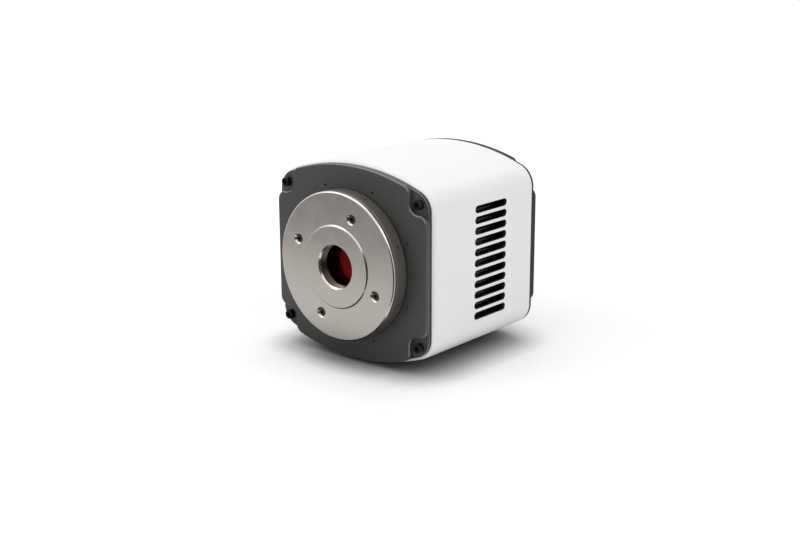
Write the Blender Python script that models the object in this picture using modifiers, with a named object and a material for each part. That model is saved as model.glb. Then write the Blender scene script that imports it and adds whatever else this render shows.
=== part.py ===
"""Cooled scientific camera with a threaded lens mount, as an assembly of separate solids.

Metres, +Z up. The lens mount faces -Y and the vented sides face +X and -X. Depths along the
optical axis are measured from the mount plate's front face, growing towards the rear, and
depth() turns one into a world Y. Heights called "rise" are measured from the optical axis.
The origin is the middle of the footprint, on the surface that the foot stands on.
"""

import math

import bmesh
import bpy
from mathutils import Matrix, Vector

# ---- Fits ------------------------------------------------------------------------------------
GAP = 0.0003              # between faces that touch on the real camera
SCREW_CLEARANCE = 0.0003  # around a screw's shank

# ---- Housing outline, shared by the sleeve and both covers -----------------------------------
HALF_WIDTH = 0.059
HALF_HEIGHT = 0.059
BOW_DROP = 0.01343        # how far the arched top falls from its middle to the side
CORNER_R = 0.0139
WALL = 0.002
SLEEVE_FRONT = 0.0166
SLEEVE_REAR = 0.1102
SLEEVE_FRONT_CHAMFER = 0.0013
SLEEVE_REAR_CHAMFER = 0.0003

# ---- Side vents ------------------------------------------------------------------------------
VENT_COUNT = 11
VENT_PITCH = 0.00637
VENT_HEIGHT = 0.00436
VENT_FRONT = 0.0541
VENT_REAR = 0.0843
VENT_RISE = 0.0005        # centre of the row above the optical axis

# ---- Lens mount ------------------------------------------------------------------------------
PLATE_R = 0.044
PLATE_T = 0.0024
PLATE_CHAMFER = 0.0007
BOSS_R = 0.0247
BOSS_H = 0.00075
BOSS_CHAMFER = 0.0008
THROAT_R = 0.0123         # minor radius of the 1 inch, 32 threads per inch lens thread
THROAT_CHAMFER = 0.001
THROAT_DEPTH = 0.0062
COLLAR_WALL = 0.0037
FLANGE_DISTANCE = 0.017526  # lens seat to sensor, fixed by the mount's standard
GROOVE = 0.0005           # relief chamfers that make the dark lines between stacked rings

MOUNT_SCREW_EDGE = 0.012  # from the plate's rim in to the screws' centres
MOUNT_SCREW_ANGLE = math.radians(22.5)
MOUNT_SCREW_SINK = 0.0002

# ---- Turret behind the mount plate -----------------------------------------------------------
TURRET_R = PLATE_R
TURRET_REAR_RELIEF = 0.0007
TURRET_HOLE_R = 0.0008
TURRET_HOLE_DEPTH = 0.0016
TURRET_HOLE_EDGE = 0.0042  # from the pad's face forward to the side holes' centres
RING_OF_EIGHT = 8

# ---- Front plate -----------------------------------------------------------------------------
PAD_T = 0.0028            # from the flange's face forward to the pad's face
PAD_INSET = 0.00134
PAD_CHAMFER = 0.0006
PAD_FILLET = 0.0056
POCKET_R = 0.0059
FLANGE_T = 0.0014
FLANGE_LINE = 0.0008      # the dark line between the flange and the sleeve
FLANGE_INSET = 0.0017
FLANGE_CHAMFER = 0.0003
FRONT_SPIGOT = 0.0014     # how far the plate reaches into the sleeve
DIMPLE_EDGE = 0.0034      # from the turret's wall out to the dimples' centres
DIMPLE_R = 0.0009
DIMPLE_DEPTH = 0.001

# ---- Corner screws and posts -----------------------------------------------------------------
CORNER_SCREW_SIDE = 0.008  # from the side in to the screws' centres
CORNER_SCREW_LIFT = 0.0049  # from the corner arc's centre up to the screws' centres
CAP_HEAD_R = 0.00275
CAP_HEAD_H = 0.003
CAP_HEAD_CHAMFER = 0.0003
SHANK_R = 0.0015
CORNER_SHANK = 0.0095
CORNER_POST_R = 0.0036
FLAT_HEAD_R = 0.0028
FLAT_HEAD_H = 0.0014
MOUNT_SHANK = 0.0044
HEX_FLATS = 0.0025
FLAT_HEX_FLATS = 0.002
HEX_DEPTH = 0.0013

# ---- Sensor chamber --------------------------------------------------------------------------
NOSE_FRONT = 0.0068
NOSE_R = 0.0235
WINDOW_BORE_R = 0.019
WINDOW_SEAT = 0.01
WINDOW_T = 0.0012
RETAINER_T = 0.0012
RETAINER_BORE_R = 0.0145
RETAINER_NOTCH = 0.0016   # wide across the spanner slots
APERTURE_R = 0.0135
APERTURE_REAR = 0.0124
SEAL_R = 0.016
SEAL_WIRE_R = 0.0005
SEAL_GROOVE_HALF = 0.0009
SEAL_GROOVE_DEPTH = 0.0013
PACKAGE_BORE_R = 0.0205
CHAMBER_FLANGE_R = 0.038
CHAMBER_FLANGE_T = 0.003
CHAMBER_R = 0.03
CHAMBER_WALL = 0.003
CHAMBER_MARGIN = 0.0054   # from the last cooler's rear face to the barrel's
PACKAGE_SIDE = 0.028
PACKAGE_LIP = 0.0005
PACKAGE_T = 0.0033
DIE_X = 0.0166
DIE_Z = 0.014
DIE_T = 0.0005
DIE_MARGIN = 0.002
SENSOR_BOARD_R = 0.0265
BOARD_T = 0.0016
FINGER_SIDE = 0.0114
FINGER_LENGTH = 0.0035
COLD_BLOCK_SIDE = 0.03
COLD_BLOCK_T = 0.005
COOLER_COLD_SIDE = 0.023
COOLER_COLD_T = 0.003
COOLER_HOT_SIDE = 0.03
COOLER_HOT_T = 0.0036
COOLER_PLATE_T = 0.0008
COOLER_INSET = 0.0012

# ---- Heat sink -------------------------------------------------------------------------------
SINK_SIDE_GAP = 0.007     # air between the fins' ends and the sleeve's wall
SINK_BASE_T = 0.005
SINK_TO_FAN = 0.0082      # air between the fins and the fan
FIN_T = 0.0013
SINK_WEB_T = 0.004        # upright wall in the middle that splits the air to both sides
PEDESTAL_SIDE = 0.032

# ---- Fan -------------------------------------------------------------------------------------
FAN_SIDE = 0.07
FAN_T = 0.015
FAN_TO_BOARD = 0.003      # from the port board's top edge up to the fan
FAN_RIM = 0.002           # wall between the duct and the frame's side
FAN_CORNER_R = 0.004
FAN_HOLE_EDGE = 0.005
FAN_HUB_R = 0.0125
FAN_HUB_PLATE_T = 0.002
FAN_STRUT_W = 0.004
FAN_STRUTS = 4
FAN_TIP_CLEARANCE = 0.0008
ROTOR_INSET = 0.0008
BLADES = 7
BLADE_CHORD = 0.013
BLADE_T = 0.0012
BLADE_PITCH = math.radians(38)
FAN_HEAD_R = 0.0028
FAN_HEAD_H = 0.0016
FAN_HEAD_TOP_R = 0.0021
FAN_HEAD_EDGE_H = 0.0009
FAN_SHANK = 0.012

# ---- Rear cover ------------------------------------------------------------------------------
REAR_FLANGE_FRONT = SLEEVE_REAR + GAP
REAR_FLANGE_T = 0.0014
REAR_FLANGE_INSET = 0.0004
REAR_PAD_INSET = 0.0006
REAR_PAD_T = 0.0047       # from the sleeve's end back to the pad's face
SPIGOT_DEPTH = 0.004
SPIGOT_WALL = 0.0015
GRILLE_EDGE = 0.0015      # from the fan's duct in to the ends of the slots
GRILLE_BAR = 0.005

# ---- Ports on the rear cover -----------------------------------------------------------------
PORT_LIFT = 0.017         # from the lowest point of the housing up to the ports' centres
PORT_CLEARANCE = 0.0003
PORT_PROUD = 0.0008
SWITCH_X = 0.034
SWITCH_BEZEL = (0.0112, 0.0158)
SWITCH_BODY = (0.0098, 0.0144)
SWITCH_WELL = (0.008, 0.0126)
SWITCH_WELL_DEPTH = 0.0065
SWITCH_BEZEL_T = 0.0012
ROCKER_HALF_LENGTH = 0.0055
ROCKER_END = (0.0012, 0.0026)  # how far the ends' lower and upper edges stand behind the pin
ROCKER_KEEL = (0.0022, -0.0016)  # half length and depth of the keel that holds the pin
ROCKER_DISH = 0.0018      # the middle of the hollow face
ROCKER_REST_TILT = math.radians(10)
ROCKER_PIVOT_DEPTH = 0.003
ROCKER_SIDE_GAP = 0.0003
DC_X = 0.0185
DC_NOSE_R = 0.0048
DC_SOCKET_R = 0.0029
DC_PIN_R = 0.001
DC_SOCKET_DEPTH = 0.0095
DC_BODY = 0.0105
USB_X = 0.003
USB_SIZE = (0.0122, 0.0112)
USB_WALL = 0.0008
USB_DEPTH = 0.0095
USB_TONGUE = (0.0058, 0.0032)
TRIGGER_X = (-0.0125, -0.0245, -0.0365)
TRIGGER_HEX_FLATS = 0.008
TRIGGER_HEX_T = 0.0018
TRIGGER_THREAD_R = 0.0031
TRIGGER_LENGTH = 0.0066
TRIGGER_SOCKET_R = 0.0023
TRIGGER_PIN_R = 0.0006
TRIGGER_SOCKET_DEPTH = 0.005
LED_X = 0.0105
LED_LIFT = 0.0065         # above the ports' centres
LED_R = 0.0012
LED_LENGTH = 0.0062

# ---- Electronics and floor -------------------------------------------------------------------
BOARD_TO_POST = 0.0034    # from the main board's long edges out to the corner posts
PORT_BOARD_SIDE = 0.0011  # from the arched wall in to the port board's lower corners
BOARD_LIFT = 0.0095       # from the floor up to the main board's top
BOARD_TO_PLATE = 0.006
PORT_BOARD_BACK = 0.0123  # from the sleeve's rear end forward to the port board
PORT_BOARD_ABOVE = 0.009  # from the ports' centres up to the port board's top edge
PROCESSOR_SIDE = 0.027
PROCESSOR_T = 0.0025
PROCESSOR_SHIFT = 0.0012  # from the board's middle towards the rear
MEMORY_X = 0.026
MEMORY_SIZE = (0.011, 0.014, 0.0012)
FLOOR_LIFT = 0.0095       # from the lowest point of the housing up to the floor
FLOOR_T = 0.002
FLOOR_SIDE = 0.004        # from the arched wall in to the floor's edges
BOARD_POST_R = 0.003
BOARD_POST_SIDE = 0.005
BOARD_POST_INSET = 0.006
FOOT_X = 0.04
FOOT_Y = 0.056
FOOT_SHIFT = 0.0014       # from the sleeve's middle forward to the foot's
FOOT_PROUD = 0.0008
TRIPOD_R = 0.0032
TRIPOD_DEPTH = 0.0055
TRIPOD_PIN_R = 0.0021
TRIPOD_PIN_STEP = 0.014

# ---- Places worked out from the sizes above --------------------------------------------------
AXIS_Z = HALF_HEIGHT + FOOT_PROUD
BOW_R = (HALF_WIDTH**2 + BOW_DROP**2) / (2 * BOW_DROP)
BOW_CENTRE = HALF_HEIGHT - BOW_R
FLANGE_REAR = SLEEVE_FRONT - FLANGE_LINE
FLANGE_FRONT = FLANGE_REAR - FLANGE_T
PAD_FRONT = FLANGE_FRONT - PAD_T
FRONT_PLATE_REAR = SLEEVE_FRONT + FRONT_SPIGOT
CORNER_ARC_RISE = BOW_CENTRE + math.sqrt((BOW_R - CORNER_R) ** 2 - (HALF_WIDTH - CORNER_R) ** 2)
CORNER_SCREW_X = HALF_WIDTH - CORNER_SCREW_SIDE
CORNER_SCREW_RISE = CORNER_ARC_RISE + CORNER_SCREW_LIFT
SINK_HALF_X = HALF_WIDTH - WALL - SINK_SIDE_GAP
PORT_RISE = PORT_LIFT - HALF_HEIGHT
PORT_BOARD_TOP = PORT_RISE + PORT_BOARD_ABOVE
PORT_BOARD_FRONT = SLEEVE_REAR - PORT_BOARD_BACK
LED_RISE = PORT_RISE + LED_LIFT
FLOOR_RISE = FLOOR_LIFT - HALF_HEIGHT
MAIN_BOARD_RISE = FLOOR_RISE + BOARD_LIFT
MAIN_BOARD_FRONT = FRONT_PLATE_REAR + BOARD_TO_PLATE
BOARD_HALF_X = CORNER_SCREW_X - CORNER_POST_R - BOARD_TO_POST
FAN_RISE = PORT_BOARD_TOP + FAN_TO_BOARD + FAN_SIDE / 2
FAN_BORE_R = FAN_SIDE / 2 - FAN_RIM
FAN_HOLE_HALF = FAN_SIDE / 2 - FAN_HOLE_EDGE
GRILLE_R = FAN_BORE_R - GRILLE_EDGE
FOOT_S = (SLEEVE_FRONT + SLEEVE_REAR) / 2 - FOOT_SHIFT
REAR_FACE = SLEEVE_REAR + REAR_PAD_T
FRONT_MOST = -BOSS_H
REAR_MOST = REAR_FACE + TRIGGER_HEX_T + GAP + TRIGGER_LENGTH
MID_DEPTH = (FRONT_MOST + REAR_MOST) / 2
SENSOR_PLANE = FLANGE_DISTANCE - BOSS_H
FACING_FRONT = (math.pi / 2, 0, 0)
FACING_REAR = (math.pi / 2, 0, math.pi)
FACING_SIDE = (math.pi / 2, 0, math.pi / 2)
ALONG_Y = Matrix.Rotation(math.pi / 2, 4, "X")
UPRIGHT = Matrix.Identity(4)

# ---- Facet counts ----------------------------------------------------------------------------
RING_STEPS = 48
SMALL_STEPS = 28
SCREW_STEPS = 12
BOW_STEPS = 16
CORNER_STEPS = 5
SLOT_END_STEPS = 4


def depth(s):
    """World Y of a depth measured back from the mount plate's face."""
    return s - MID_DEPTH


def height(rise):
    """World Z of a height measured from the optical axis."""
    return AXIS_Z + rise


def place(x, s, rise):
    """World position of a point on the camera."""
    return (x, depth(s), height(rise))


# ---- Scene, materials and small tools --------------------------------------------------------

for leftover in list(bpy.data.objects):
    bpy.data.objects.remove(leftover, do_unlink=True)

parts = bpy.data.collections.new("cooled_camera")
tools = bpy.data.collections.new("cutters")
bpy.context.scene.collection.children.link(parts)
bpy.context.scene.collection.children.link(tools)


def material(name, rgb, roughness, metallic):
    """A Principled material in linear colour."""
    made = bpy.data.materials.new(name)
    made.use_nodes = True
    shader = made.node_tree.nodes["Principled BSDF"]
    shader.inputs["Base Color"].default_value = (*rgb, 1)
    shader.inputs["Roughness"].default_value = roughness
    shader.inputs["Metallic"].default_value = metallic
    made.diffuse_color = (*rgb, 1)
    return made


NICKEL = material("nickel_plated_steel", (0.42, 0.39, 0.36), 0.3, 1.0)
GREY_ANODISED = material("grey_anodised_aluminium", (0.085, 0.085, 0.085), 0.45, 0.4)
BLACK_ANODISED = material("black_anodised_aluminium", (0.02, 0.02, 0.02), 0.5, 0.3)
WHITE_PAINT = material("white_powder_coat", (0.85, 0.85, 0.85), 0.4, 0.0)
BLACK_OXIDE = material("black_oxide_steel", (0.03, 0.03, 0.03), 0.35, 0.9)
STAINLESS = material("stainless_steel", (0.5, 0.5, 0.5), 0.3, 1.0)
BLACK_PLASTIC = material("black_plastic", (0.02, 0.02, 0.02), 0.5, 0.0)
BLACK_RUBBER = material("black_rubber", (0.015, 0.015, 0.015), 0.8, 0.0)
COATED_GLASS = material("coated_glass", (0.25, 0.02, 0.03), 0.05, 0.0)
SILICON = material("silicon_sensor", (0.03, 0.06, 0.06), 0.2, 0.3)
CERAMIC = material("white_ceramic", (0.6, 0.58, 0.54), 0.6, 0.0)
COPPER = material("copper", (0.7, 0.3, 0.18), 0.3, 1.0)
CIRCUIT_BOARD = material("green_circuit_board", (0.02, 0.12, 0.05), 0.5, 0.0)
GOLD = material("gold_plated_brass", (0.75, 0.5, 0.15), 0.25, 1.0)
LIGHT_PIPE = material("green_light_pipe", (0.2, 0.6, 0.25), 0.3, 0.0)


def add_part(part, surface):
    """File a finished object under the camera and give it its material."""
    parts.objects.link(part)
    part.data.materials.clear()
    part.data.materials.append(surface)
    part.data.shade_smooth()
    part.data.set_sharp_from_angle(angle=math.radians(30))
    return part


def as_tool(tool):
    """File an object as a cutter or filler that only other objects' modifiers use."""
    tools.objects.link(tool)
    tool.hide_render = True
    tool.display_type = "WIRE"
    return tool


def boolean(target, tool, operation):
    """Add one exact Boolean modifier."""
    step = target.modifiers.new(tool.name, "BOOLEAN")
    step.operation = operation
    step.solver = "EXACT"
    step.object = tool
    return step


def cut(target, tool):
    """Take a tool's volume away from an object."""
    return boolean(target, as_tool(tool), "DIFFERENCE")


def fuse(target, tool):
    """Join a tool's volume to an object."""
    return boolean(target, as_tool(tool), "UNION")


def mesh_object(name, bm, rotation=(0, 0, 0), location=(0, 0, 0)):
    """Turn a bmesh into an object with a rotation and a location."""
    mesh = bpy.data.meshes.new(name)
    bm.to_mesh(mesh)
    bm.free()
    made = bpy.data.objects.new(name, mesh)
    made.rotation_euler = rotation
    made.location = location
    return made


def box(name, size, centre, bevel=0.0):
    """An axis-aligned box. size is (x, y, z) and centre a world position."""
    bm = bmesh.new()
    bmesh.ops.create_cube(bm, size=1, matrix=Matrix.Diagonal((*size, 1)))
    made = mesh_object(name, bm, location=centre)
    if bevel:
        rounding = made.modifiers.new("edges", "BEVEL")
        rounding.width = bevel
        rounding.segments = 1
    return made


def boxes(name, size, centres):
    """Several equal boxes in one mesh, for a tool that repeats."""
    bm = bmesh.new()
    for centre in centres:
        spot = Matrix.Translation(centre) @ Matrix.Diagonal((*size, 1))
        bmesh.ops.create_cube(bm, size=1, matrix=spot)
    return mesh_object(name, bm)


def rods(name, radius, length, spots, steps, direction=ALONG_Y):
    """Equal round rods in one mesh, each centred on a world position, along Y by default."""
    bm = bmesh.new()
    for spot in spots:
        bmesh.ops.create_cone(
            bm,
            cap_ends=True,
            segments=steps,
            radius1=radius,
            radius2=radius,
            depth=length,
            matrix=Matrix.Translation(spot) @ direction,
        )
    return mesh_object(name, bm)


def hex_rod(name, flats, length, centre):
    """A hexagonal rod along Y."""
    return rods(name, flats / math.sqrt(3), length, [centre], 6)


def turned(name, profile, steps, location, rotation=FACING_FRONT, closed=True):
    """A body turned about its local Z, from (radius, depth) points.

    The points run along the front, down the outside and back up the inside, and depth grows
    away from local +Z. An open profile starts and ends on the axis.
    """
    bm = bmesh.new()
    verts = [bm.verts.new((radius, 0, -back)) for radius, back in profile]
    for first, second in zip(verts, verts[1:]):
        bm.edges.new((first, second))
    if closed:
        bm.edges.new((verts[-1], verts[0]))
    made = mesh_object(name, bm, rotation, location)
    spin = made.modifiers.new("turning", "SCREW")
    spin.steps = steps
    spin.render_steps = steps
    spin.use_merge_vertices = True
    spin.merge_threshold = 0.000001
    return made


def prism(
    name, outlines, front, rear, front_edge=0.0, rear_edge=0.0, facing=FACING_FRONT, centre=None
):
    """Flat outlines extruded between two depths, with chamfers on the front and rear edges."""
    curve = bpy.data.curves.new(name, "CURVE")
    curve.dimensions = "2D"
    curve.fill_mode = "BOTH"
    curve.extrude = (rear - front) / 2
    for outline in outlines:
        spline = curve.splines.new("POLY")
        spline.points.add(len(outline) - 1)
        for point, (across, up) in zip(spline.points, outline):
            point.co = (across, up, 0, 1)
        spline.use_cyclic_u = True
    guide = bpy.data.objects.new(name, curve)
    guide.rotation_euler = facing
    guide.location = centre or place(0, (front + rear) / 2, 0)
    bpy.context.scene.collection.objects.link(guide)
    bpy.context.view_layer.update()
    spot = guide.matrix_world.copy()
    state = bpy.context.evaluated_depsgraph_get()
    mesh = bpy.data.meshes.new_from_object(guide.evaluated_get(state))
    bpy.data.objects.remove(guide, do_unlink=True)
    bm = bmesh.new()
    bm.from_mesh(mesh)
    bmesh.ops.remove_doubles(bm, verts=bm.verts, dist=0.000001)
    caps = {face for face in bm.faces if len({vert.co.z > 0 for vert in face.verts}) == 1}
    inner_edges = [edge for edge in bm.edges if all(face in caps for face in edge.link_faces)]
    bmesh.ops.dissolve_edges(bm, edges=inner_edges)
    widest = max(front_edge, rear_edge)
    if widest:
        weight = bm.edges.layers.float.new("bevel_weight_edge")
        for edge in bm.edges:
            heights = [vert.co.z for vert in edge.verts]
            if min(heights) > 0:
                edge[weight] = front_edge / widest
            elif max(heights) < 0:
                edge[weight] = rear_edge / widest
    bm.to_mesh(mesh)
    bm.free()
    made = bpy.data.objects.new(name, mesh)
    made.matrix_world = spot
    if widest:
        chamfer = made.modifiers.new("chamfer", "BEVEL")
        chamfer.limit_method = "WEIGHT"
        chamfer.width = widest
        chamfer.segments = 1
    return made


# ---- Outlines --------------------------------------------------------------------------------


def arc(across, up, radius, start, end, steps):
    """Points along an arc, both ends included."""
    turns = [start + (end - start) * step / steps for step in range(steps + 1)]
    return [(across + radius * math.cos(turn), up + radius * math.sin(turn)) for turn in turns]


def four_corners(quarter):
    """A closed outline from its upper right quarter, which runs from the side to the top middle."""
    upper = quarter + [(-across, up) for across, up in reversed(quarter[:-1])]
    return upper + [(-across, -up) for across, up in upper]


def bow_from(across, radius):
    """Angle at the bow's centre of a circle centre that lies on a given arc and offset."""
    up = math.sqrt(radius**2 - across**2)
    return math.atan2(up, across), BOW_CENTRE + up


def housing_outline(inset):
    """The housing's outline, moved inwards: flat sides, round corners, arched top and bottom."""
    across = HALF_WIDTH - CORNER_R
    turn, up = bow_from(across, BOW_R - CORNER_R)
    corner = arc(across, up, CORNER_R - inset, 0, turn, CORNER_STEPS)
    bow = arc(0, BOW_CENTRE, BOW_R - inset, turn, math.pi / 2, BOW_STEPS // 2)
    return four_corners(corner + bow[1:])


def inside_reach(rise):
    """Half width inside the sleeve's arched wall at a rise near its top or bottom."""
    return math.sqrt((BOW_R - WALL) ** 2 - (abs(rise) - BOW_CENTRE) ** 2)


def pad_outline(inset):
    """The raised pad's outline: the housing's, with a rounded scallop round each corner screw."""
    side_x = HALF_WIDTH - inset - PAD_FILLET
    side_up = CORNER_SCREW_RISE - POCKET_R - PAD_FILLET
    side = arc(side_x, side_up, PAD_FILLET, 0, math.pi / 2, CORNER_STEPS)
    scallop = arc(CORNER_SCREW_X, CORNER_SCREW_RISE, POCKET_R, 1.5 * math.pi, math.pi, CORNER_STEPS)
    top_x = CORNER_SCREW_X - POCKET_R - PAD_FILLET
    turn, top_up = bow_from(top_x, BOW_R - inset - PAD_FILLET)
    top = arc(top_x, top_up, PAD_FILLET, 0, turn, CORNER_STEPS)
    bow = arc(0, BOW_CENTRE, BOW_R - inset, turn, math.pi / 2, BOW_STEPS // 2)
    return four_corners(side + scallop + top + bow[1:])


def slot_outline(left, right, up, tall):
    """A slot with round ends."""
    half = tall / 2
    start = arc(left + half, up, half, math.pi / 2, 1.5 * math.pi, SLOT_END_STEPS)
    end = arc(right - half, up, half, -math.pi / 2, math.pi / 2, SLOT_END_STEPS)
    return start + end


def ring_of(count, radius, start=0.0):
    """Angles and (x, rise) places spaced evenly on a circle about the optical axis."""
    turns = [start + 2 * math.pi * step / count for step in range(count)]
    return [(turn, radius * math.cos(turn), radius * math.sin(turn)) for turn in turns]


def corner_spots(half_x, half_rise, rise=0.0):
    """The four corners of a rectangle, as (x, rise)."""
    return [(x * half_x, rise + z * half_rise) for x, z in ((1, 1), (-1, 1), (-1, -1), (1, -1))]


# ---- Screws ----------------------------------------------------------------------------------


def cap_screw(name, x, s, rise, rotation, shank):
    """A socket cap screw. Its origin is the middle of its head's underside."""
    profile = [
        (0, -CAP_HEAD_H),
        (CAP_HEAD_R - CAP_HEAD_CHAMFER, -CAP_HEAD_H),
        (CAP_HEAD_R, -CAP_HEAD_H + CAP_HEAD_CHAMFER),
        (CAP_HEAD_R, 0),
        (SHANK_R, 0),
        (SHANK_R, shank),
        (0, shank),
    ]
    screw = turned(name, profile, SCREW_STEPS, place(x, s, rise), rotation, closed=False)
    side = -1 if rotation == FACING_FRONT else 1
    mouth = place(x, s + side * CAP_HEAD_H, rise)
    cut(screw, hex_rod(name + "_socket", HEX_FLATS, 2 * HEX_DEPTH, mouth))
    return add_part(screw, BLACK_OXIDE)


def flat_screw(name, x, s, rise):
    """A countersunk socket screw. Its origin is the middle of its head's face."""
    profile = [
        (0, 0),
        (FLAT_HEAD_R, 0),
        (SHANK_R, FLAT_HEAD_H),
        (SHANK_R, FLAT_HEAD_H + MOUNT_SHANK),
        (0, FLAT_HEAD_H + MOUNT_SHANK),
    ]
    screw = turned(name, profile, SCREW_STEPS, place(x, s, rise), closed=False)
    cut(screw, hex_rod(name + "_socket", FLAT_HEX_FLATS, 2 * HEX_DEPTH, place(x, s, rise)))
    return add_part(screw, STAINLESS)


def pan_screw(name, x, s, rise):
    """A pan head screw driven from behind. Its origin is the middle of its head's underside."""
    profile = [
        (0, -FAN_HEAD_H),
        (FAN_HEAD_TOP_R, -FAN_HEAD_H),
        (FAN_HEAD_R, -FAN_HEAD_EDGE_H),
        (FAN_HEAD_R, 0),
        (SHANK_R, 0),
        (SHANK_R, FAN_SHANK),
        (0, FAN_SHANK),
    ]
    screw = turned(name, profile, SCREW_STEPS, place(x, s, rise), FACING_REAR, closed=False)
    cut(screw, hex_rod(name + "_socket", FLAT_HEX_FLATS, HEX_DEPTH, place(x, s + FAN_HEAD_H, rise)))
    return add_part(screw, BLACK_OXIDE)


# ---- Lens mount ------------------------------------------------------------------------------

mount_screw_spots = ring_of(4, PLATE_R - MOUNT_SCREW_EDGE, math.radians(45) + MOUNT_SCREW_ANGLE)
turret_front = PLATE_T + GAP
turret_rear = PAD_FRONT - GAP


def mount_plate():
    """The round nickel plate with its raised seat, threaded throat and rear collar."""
    collar_r = THROAT_R + COLLAR_WALL
    profile = [
        (THROAT_R + THROAT_CHAMFER, -BOSS_H),
        (BOSS_R - BOSS_CHAMFER, -BOSS_H),
        (BOSS_R, 0),
        (PLATE_R - PLATE_CHAMFER, 0),
        (PLATE_R, PLATE_CHAMFER),
        (PLATE_R, PLATE_T - GROOVE),
        (PLATE_R - GROOVE, PLATE_T),
        (collar_r, PLATE_T),
        (collar_r, THROAT_DEPTH),
        (THROAT_R, THROAT_DEPTH),
        (THROAT_R, THROAT_CHAMFER - BOSS_H),
    ]
    plate = turned("mount_plate", profile, RING_STEPS, place(0, 0, 0))
    for index, (_, x, rise) in enumerate(mount_screw_spots, 1):
        rim = FLAT_HEAD_R + SCREW_CLEARANCE
        hole_r = SHANK_R + SCREW_CLEARANCE
        sink = MOUNT_SCREW_SINK + FLAT_HEAD_H
        hole = [
            (0, -GAP),
            (rim, -GAP),
            (rim, MOUNT_SCREW_SINK),
            (hole_r, sink),
            (hole_r, 2 * PLATE_T),
            (0, 2 * PLATE_T),
        ]
        spot = place(x, 0, rise)
        cut(plate, turned(f"mount_hole_{index}", hole, SCREW_STEPS, spot, closed=False))
    return add_part(plate, NICKEL)


def turret_ring():
    """The anodised ring that carries the mount plate in front of the front plate."""
    collar_bore = THROAT_R + COLLAR_WALL + GAP
    nose_bore = NOSE_R + 2 * GAP
    neck = turret_rear - TURRET_REAR_RELIEF
    profile = [
        (collar_bore, turret_front),
        (TURRET_R - GROOVE, turret_front),
        (TURRET_R, turret_front + GROOVE),
        (TURRET_R, neck),
        (TURRET_R - TURRET_REAR_RELIEF, neck),
        (TURRET_R - TURRET_REAR_RELIEF, turret_rear),
        (nose_bore, turret_rear),
        (nose_bore, NOSE_FRONT - GAP),
        (collar_bore, NOSE_FRONT - GAP),
    ]
    ring = turned("turret_ring", profile, RING_STEPS, place(0, 0, 0))
    drilled = 2 * (MOUNT_SHANK + FLAT_HEAD_H + MOUNT_SCREW_SINK + GAP - turret_front)
    spots = [place(x, turret_front, rise) for _, x, rise in mount_screw_spots]
    cut(ring, rods("turret_screw_holes", SHANK_R + SCREW_CLEARANCE, drilled, spots, SCREW_STEPS))
    bm = bmesh.new()
    for turn, x, rise in ring_of(RING_OF_EIGHT, TURRET_R, MOUNT_SCREW_ANGLE):
        aim = Matrix.Rotation(math.pi / 2 - turn, 4, "Y")
        bmesh.ops.create_cone(
            bm,
            cap_ends=True,
            segments=6,
            radius1=TURRET_HOLE_R,
            radius2=TURRET_HOLE_R,
            depth=2 * TURRET_HOLE_DEPTH,
            matrix=Matrix.Translation(place(x, PAD_FRONT - TURRET_HOLE_EDGE, rise)) @ aim,
        )
    cut(ring, mesh_object("turret_side_holes", bm))
    return add_part(ring, GREY_ANODISED)


mount_plate()
turret_ring()
for number, (_, screw_x, screw_rise) in enumerate(mount_screw_spots, 1):
    flat_screw(f"mount_screw_{number}", screw_x, MOUNT_SCREW_SINK, screw_rise)


# ---- Front plate, rear cover and what clamps them --------------------------------------------

spigot_inset = WALL + GAP
corner_screw_spots = corner_spots(CORNER_SCREW_X, CORNER_SCREW_RISE)
post_front = FRONT_PLATE_REAR + GAP
post_rear = SLEEVE_REAR - SPIGOT_DEPTH - GAP


def front_plate():
    """Flange, scalloped pad and locating spigot in one milled plate."""
    overlap = FLANGE_FRONT + (FLANGE_REAR - FLANGE_FRONT) / 2
    plate = prism("front_plate", [pad_outline(PAD_INSET)], PAD_FRONT, overlap, PAD_CHAMFER)
    edge = [housing_outline(FLANGE_INSET)]
    flange = prism("front_flange", edge, FLANGE_FRONT, FLANGE_REAR, FLANGE_CHAMFER, FLANGE_CHAMFER)
    fuse(plate, flange)
    fuse(plate, prism("front_spigot", [housing_outline(spigot_inset)], overlap, FRONT_PLATE_REAR))
    long = 4 * FRONT_PLATE_REAR
    cut(plate, rods("front_bore", NOSE_R + 2 * GAP, long, [place(0, PAD_FRONT, 0)], RING_STEPS))
    through = [place(x, FLANGE_REAR, rise) for x, rise in corner_screw_spots]
    cut(plate, rods("front_screw_holes", SHANK_R + SCREW_CLEARANCE, long, through, SCREW_STEPS))
    around = ring_of(RING_OF_EIGHT, TURRET_R + DIMPLE_EDGE, MOUNT_SCREW_ANGLE)
    dimples = [place(x, PAD_FRONT, rise) for _, x, rise in around]
    cut(plate, rods("front_dimples", DIMPLE_R, 2 * DIMPLE_DEPTH, dimples, 8))
    return add_part(plate, GREY_ANODISED)


def grille_outlines():
    """Round-ended slots inside a circle, split by an upright bar, at the side vents' pitch."""
    outlines = []
    rows = int(GRILLE_R / VENT_PITCH)
    for row in range(-rows, rows + 1):
        up = row * VENT_PITCH
        edge = abs(up) + VENT_HEIGHT / 2
        if edge < GRILLE_R - VENT_HEIGHT:
            reach = math.sqrt(GRILLE_R**2 - edge**2)
            outlines.append(slot_outline(GRILLE_BAR / 2, reach, up, VENT_HEIGHT))
            outlines.append(slot_outline(-reach, -GRILLE_BAR / 2, up, VENT_HEIGHT))
    return outlines


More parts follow.
